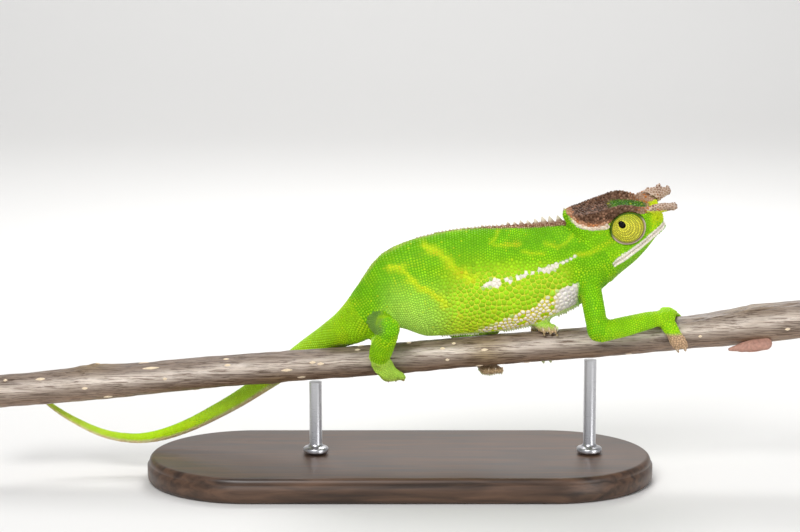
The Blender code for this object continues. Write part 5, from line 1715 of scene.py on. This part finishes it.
def make_claws():
    """Make the claws, one piece for each hand and foot."""
    rows = twig_line()
    pal = palette()
    pale = mixed(pal["cream"], pal["white"], 0.5)
    steps = np.linspace(0.0, 1.0, 12)

    def around(x, angle, lift):
        """Return a place round the twig at a height above its bark."""
        turn = math.radians(angle)
        reach = read_at(rows, x, 2) + lift
        return np.array((x, -math.sin(turn) * reach, read_at(rows, x) + math.cos(turn) * reach))

    def bow(step):
        """Return how far a claw bows out from the toe's lift on its way to the tip."""
        return 0.3 * math.sin(math.pi * min(step * 1.25, 1.0)) - 1.0 * step ** 2

    for name, bundles in TWIG_TOES.items():
        parts, shades = [], []
        for count, x_tip, angle_root, angle_tip, lift, radius in bundles:
            ahead = math.copysign(18.0, angle_tip - angle_root)
            for number in range(count):
                x = x_tip + (number - (count - 1) / 2.0) * TOE_SPACING * radius
                path = [around(x + 0.4 * s, angle_tip + ahead * s, lift + 0.35 + bow(s)) for s in steps]
                some, faces = swept(path, 0.22 * (1.0 - steps) ** 0.7 + 0.03, 12, rounded=3)
                parts.append((some, faces))
                share = np.linspace(0.0, 1.0, len(some))
                share = share ** 2 if name == "foot_right" else 0.4 + 0.6 * share
                shades.append(mixed(pal["claw"], pale, share))
        claws = new_object("claws_" + name, *joined(parts))
        paint(claws, np.vstack(shades))
        dress(claws, living_material("Claws " + name, 0.4, 2500.0, 0.3, 0.01), "skin")


# Stand and studio


def make_stand():
    """Make the display base and its rods with collars."""
    given = bpy.context.scene.chameleon_stand
    low, high = node_box("stand_base")
    half = 0.5 * (high[1] - low[1])
    straight = 0.5 * (high[0] - low[0]) - half
    tall = high[2] - low[2]
    edge = [(0.0, 0.0), (half - 1.2, 0.0), (half - 0.5, 0.25), (half - 0.1, 0.8), (half, 1.5)]
    edge += [(half, tall - 2.2), (half - 0.45, tall - 1.7)]
    for step in range(9):
        turn = 0.5 * math.pi * step / 8
        edge.append((half - 1.7 + 1.25 * math.cos(turn), tall - 1.5 + 1.5 * math.sin(turn)))
    edge += [(half * 0.6, tall), (0.0, tall)]
    points, faces = turned(edge, 160)
    # the two halves of the turned form move apart to the base's length
    away = np.where(points[:, 0] > 1e-6, straight, np.where(points[:, 0] < -1e-6, -straight, 0.0))
    points[:, 0] += away * np.minimum(np.hypot(points[:, 0], points[:, 1]) / (half * 0.5), 1.0)
    base = new_object("display_base", points, faces)
    base.data.set_sharp_from_angle(angle=math.radians(50.0))
    dress(base, wood_material(given), "stand_wood", "stand_base")
    steel = steel_material(given)
    for node in ("stand_rod_rear", "stand_rod_front"):
        low, high = node_box(node)
        middle = 0.5 * (low + high)
        top = high[2] - low[2]
        profile = [(0.0, 0.0), (2.7, 0.0), (3.0, 0.3), (3.0, 1.0), (2.75, 1.3), (2.1, 1.5), (1.7, 1.75)]
        profile += [(1.5, 2.3), (1.5, top - 0.5), (0.0, top - 0.5)]
        points, faces = turned(profile, 64)
        rod = new_object("display_" + node[6:], points + (middle[0], middle[1], low[2]), faces)
        rod.data.set_sharp_from_angle(angle=math.radians(40.0))
        dress(rod, steel, "stand_metal", node)


def wood_material(given):
    """Return dark stained wood with a fine grain along the base."""
    material, tree, shader = new_material("Stained wood")
    grain = streaks(tree, (0.09, 1.0, 1.0), {"Scale": 520.0, "Detail": 7.0, "Distortion": 0.6})
    wood = np.array(given.wood)
    set_inputs(tree, shader, {"Base Color": ramp(tree, grain, ((0.33, 0.4 * wood), (0.68, 1.5 * wood)))})
    uneven_gloss(tree, shader, grain, 0.28, 0.5)
    add_bump(tree, shader, grain, 0.3, 0.05)
    return material


def steel_material(given):
    """Return brushed steel with fine rings."""
    material, tree, shader = new_material("Brushed steel")
    set_inputs(tree, shader, {"Metallic": 1.0, "Base Color": (*given.steel, 1.0)})
    lines = streaks(tree, (0.1, 0.1, 1.0), {"Scale": 6000.0})
    uneven_gloss(tree, shader, lines, 0.2, 0.42)
    add_bump(tree, shader, lines, 0.25, 0.01)
    return material


CAMERA_TARGET = (0.0, 0.0, 51.237)
CAMERA_ELEVATION = 10.0
CAMERA_DISTANCE = 626.67
CAMERA_LENS = 120.0
# Lamps: name, place, width, share of the main light's power, and what they point at
LAMPS = (
    ("key", (-160.0, -420.0, 420.0), 260.0, 1.0, (0.0, 0.0, 45.0)),
    ("fill", (380.0, -380.0, 160.0), 300.0, 0.35, (0.0, 0.0, 45.0)),
    ("rim", (60.0, 300.0, 380.0), 220.0, 0.5, (0.0, 0.0, 45.0)),
    ("backdrop", (0.0, 330.0, 620.0), 600.0, 1.4, (0.0, 900.0, 130.0)),
)


def make_stage():
    """Make the pale floor and backdrop, the soft lights and the camera."""
    given = bpy.context.scene.chameleon_stand
    # the backdrop stands farther off than the camera, so that views from behind are clear too
    bend, wall = 300.0, 1.5 * CAMERA_DISTANCE
    steps = [(-wall, 0.0), (wall - bend, 0.0)]
    turns = np.linspace(0.15, math.pi / 2, 12)
    steps += [(wall - bend + bend * math.sin(t), bend - bend * math.cos(t)) for t in turns]
    steps += [(wall, 1500.0)]
    points = [(x, y, z) for y, z in steps for x in (-1.5 * wall, 1.5 * wall)]
    faces = [(2 * i, 2 * i + 1, 2 * i + 3, 2 * i + 2) for i in range(len(steps) - 1)]
    floor = new_object("studio_paper", points, faces)
    material, tree, shader = new_material("Studio paper")
    set_inputs(tree, shader, {"Base Color": (*given.paper, 1.0), "Roughness": 0.9})
    add_bump(tree, shader, add_node(tree, "ShaderNodeTexNoise", {"Scale": 900.0}).outputs["Fac"], 0.1, 0.05)
    floor.data.materials.append(material)
    world = bpy.data.worlds.new("Studio")
    bpy.context.scene.world = world
    world.use_nodes = True
    sky = world.node_tree.nodes["Background"]
    set_inputs(world.node_tree, sky, {"Color": (0.93, 0.95, 1.0, 1.0), "Strength": 0.38})
    for name, place, size, share, aim in LAMPS:
        data = bpy.data.lights.new(name, "AREA")
        data.shape = "DISK"
        data.size = size * MM
        data.energy = given.key * share
        lamp = linked(name, data)
        lamp.location = Vector(place) * MM
        lamp.rotation_euler = (Vector(aim) - Vector(place)).to_track_quat("-Z", "Y").to_euler()
    data = bpy.data.cameras.new("camera")
    data.lens = CAMERA_LENS
    data.clip_start, data.clip_end = 0.05, 5.0
    camera = linked("camera", data)
    lift = math.radians(CAMERA_ELEVATION)
    back = Vector((0.0, -math.cos(lift), math.sin(lift)))
    camera.location = (Vector(CAMERA_TARGET) + back * CAMERA_DISTANCE) * MM
    camera.rotation_euler = (-back).to_track_quat("-Z", "Y").to_euler()
    bpy.context.scene.camera = camera
    bpy.context.scene.view_settings.view_transform = "Standard"


# Operators


class CHAMELEON_OT_skin(bpy.types.Operator):
    """Make the one skin of head, trunk, tail and limbs"""

    bl_idname = "chameleon.skin"
    bl_label = "Skin"

    def execute(self, context):
        make_skin()
        return {"FINISHED"}


class CHAMELEON_OT_scales(bpy.types.Operator):
    """Cover the skin with scales"""

    bl_idname = "chameleon.scales"
    bl_label = "Scales"

    def execute(self, context):
        make_scales()
        return {"FINISHED"}


class CHAMELEON_OT_eyes(bpy.types.Operator):
    """Make the eye turrets and eyeballs"""

    bl_idname = "chameleon.eyes"
    bl_label = "Eyes"

    def execute(self, context):
        for side in SIDES:
            make_turret(side)
            make_eyeball(side)
        return {"FINISHED"}


class CHAMELEON_OT_horns(bpy.types.Operator):
    """Make the two rostral horns"""

    bl_idname = "chameleon.horns"
    bl_label = "Horns"

    def execute(self, context):
        for side in SIDES:
            make_horn(side)
        return {"FINISHED"}


class CHAMELEON_OT_crests(bpy.types.Operator):
    """Make the crests of back and belly"""

    bl_idname = "chameleon.crests"
    bl_label = "Crests"

    def execute(self, context):
        make_crests()
        return {"FINISHED"}


class CHAMELEON_OT_claws(bpy.types.Operator):
    """Make the claws"""

    bl_idname = "chameleon.claws"
    bl_label = "Claws"

    def execute(self, context):
        make_claws()
        return {"FINISHED"}


class CHAMELEON_OT_twig(bpy.types.Operator):
    """Make the twig with its bark, pores and bud"""

    bl_idname = "chameleon.twig"
    bl_label = "Twig"

    def execute(self, context):
        make_twig()
        return {"FINISHED"}


class CHAMELEON_OT_stand(bpy.types.Operator):
    """Make the display stand"""

    bl_idname = "chameleon.stand"
    bl_label = "Stand"

    def execute(self, context):
        make_stand()
        return {"FINISHED"}


class CHAMELEON_OT_stage(bpy.types.Operator):
    """Make the studio: floor, lights and camera"""

    bl_idname = "chameleon.stage"
    bl_label = "Stage"

    def execute(self, context):
        make_stage()
        return {"FINISHED"}


OPERATORS = (
    CHAMELEON_OT_skin, CHAMELEON_OT_scales, CHAMELEON_OT_eyes, CHAMELEON_OT_horns, CHAMELEON_OT_crests,
    CHAMELEON_OT_claws, CHAMELEON_OT_twig, CHAMELEON_OT_stand, CHAMELEON_OT_stage,
)


class CHAMELEON_PT_panel(bpy.types.Panel):
    """Lists the chameleon's pieces and settings"""

    bl_idname = "CHAMELEON_PT_panel"
    bl_label = "Canopy Chameleon"
    bl_space_type = "VIEW_3D"
    bl_region_type = "UI"
    bl_category = "Chameleon"

    def draw(self, context):
        for settings in SETTINGS:
            box = self.layout.box()
            group = getattr(context.scene, settings)
            for name in group.bl_rna.properties.keys():
                if name not in ("rna_type", "name"):
                    box.prop(group, name)
        for operator in OPERATORS:
            self.layout.operator(operator.bl_idname)


SETTINGS = {
    "chameleon_scales": ScaleSizes,
    "chameleon_colours": SkinColours,
    "chameleon_eyes": EyeSettings,
    "chameleon_bark": BarkSettings,
    "chameleon_stand": StandSettings,
}


def register():
    """Register the settings, operators and panel."""
    for name, group in SETTINGS.items():
        bpy.utils.register_class(group)
        setattr(bpy.types.Scene, name, bpy.props.PointerProperty(type=group))
    for kind in (*OPERATORS, CHAMELEON_PT_panel):
        bpy.utils.register_class(kind)


def unregister():
    """Remove what register made."""
    for kind in (CHAMELEON_PT_panel, *reversed(OPERATORS)):
        bpy.utils.unregister_class(kind)
    for name, group in SETTINGS.items():
        delattr(bpy.types.Scene, name)
        bpy.utils.unregister_class(group)


def main():
    """Register the settings, operators and panel, and build the whole model."""
    register()
    for operator in OPERATORS:
        group, name = operator.bl_idname.split(".")
        getattr(getattr(bpy.ops, group), name)()


if __name__ == "__main__":
    main()
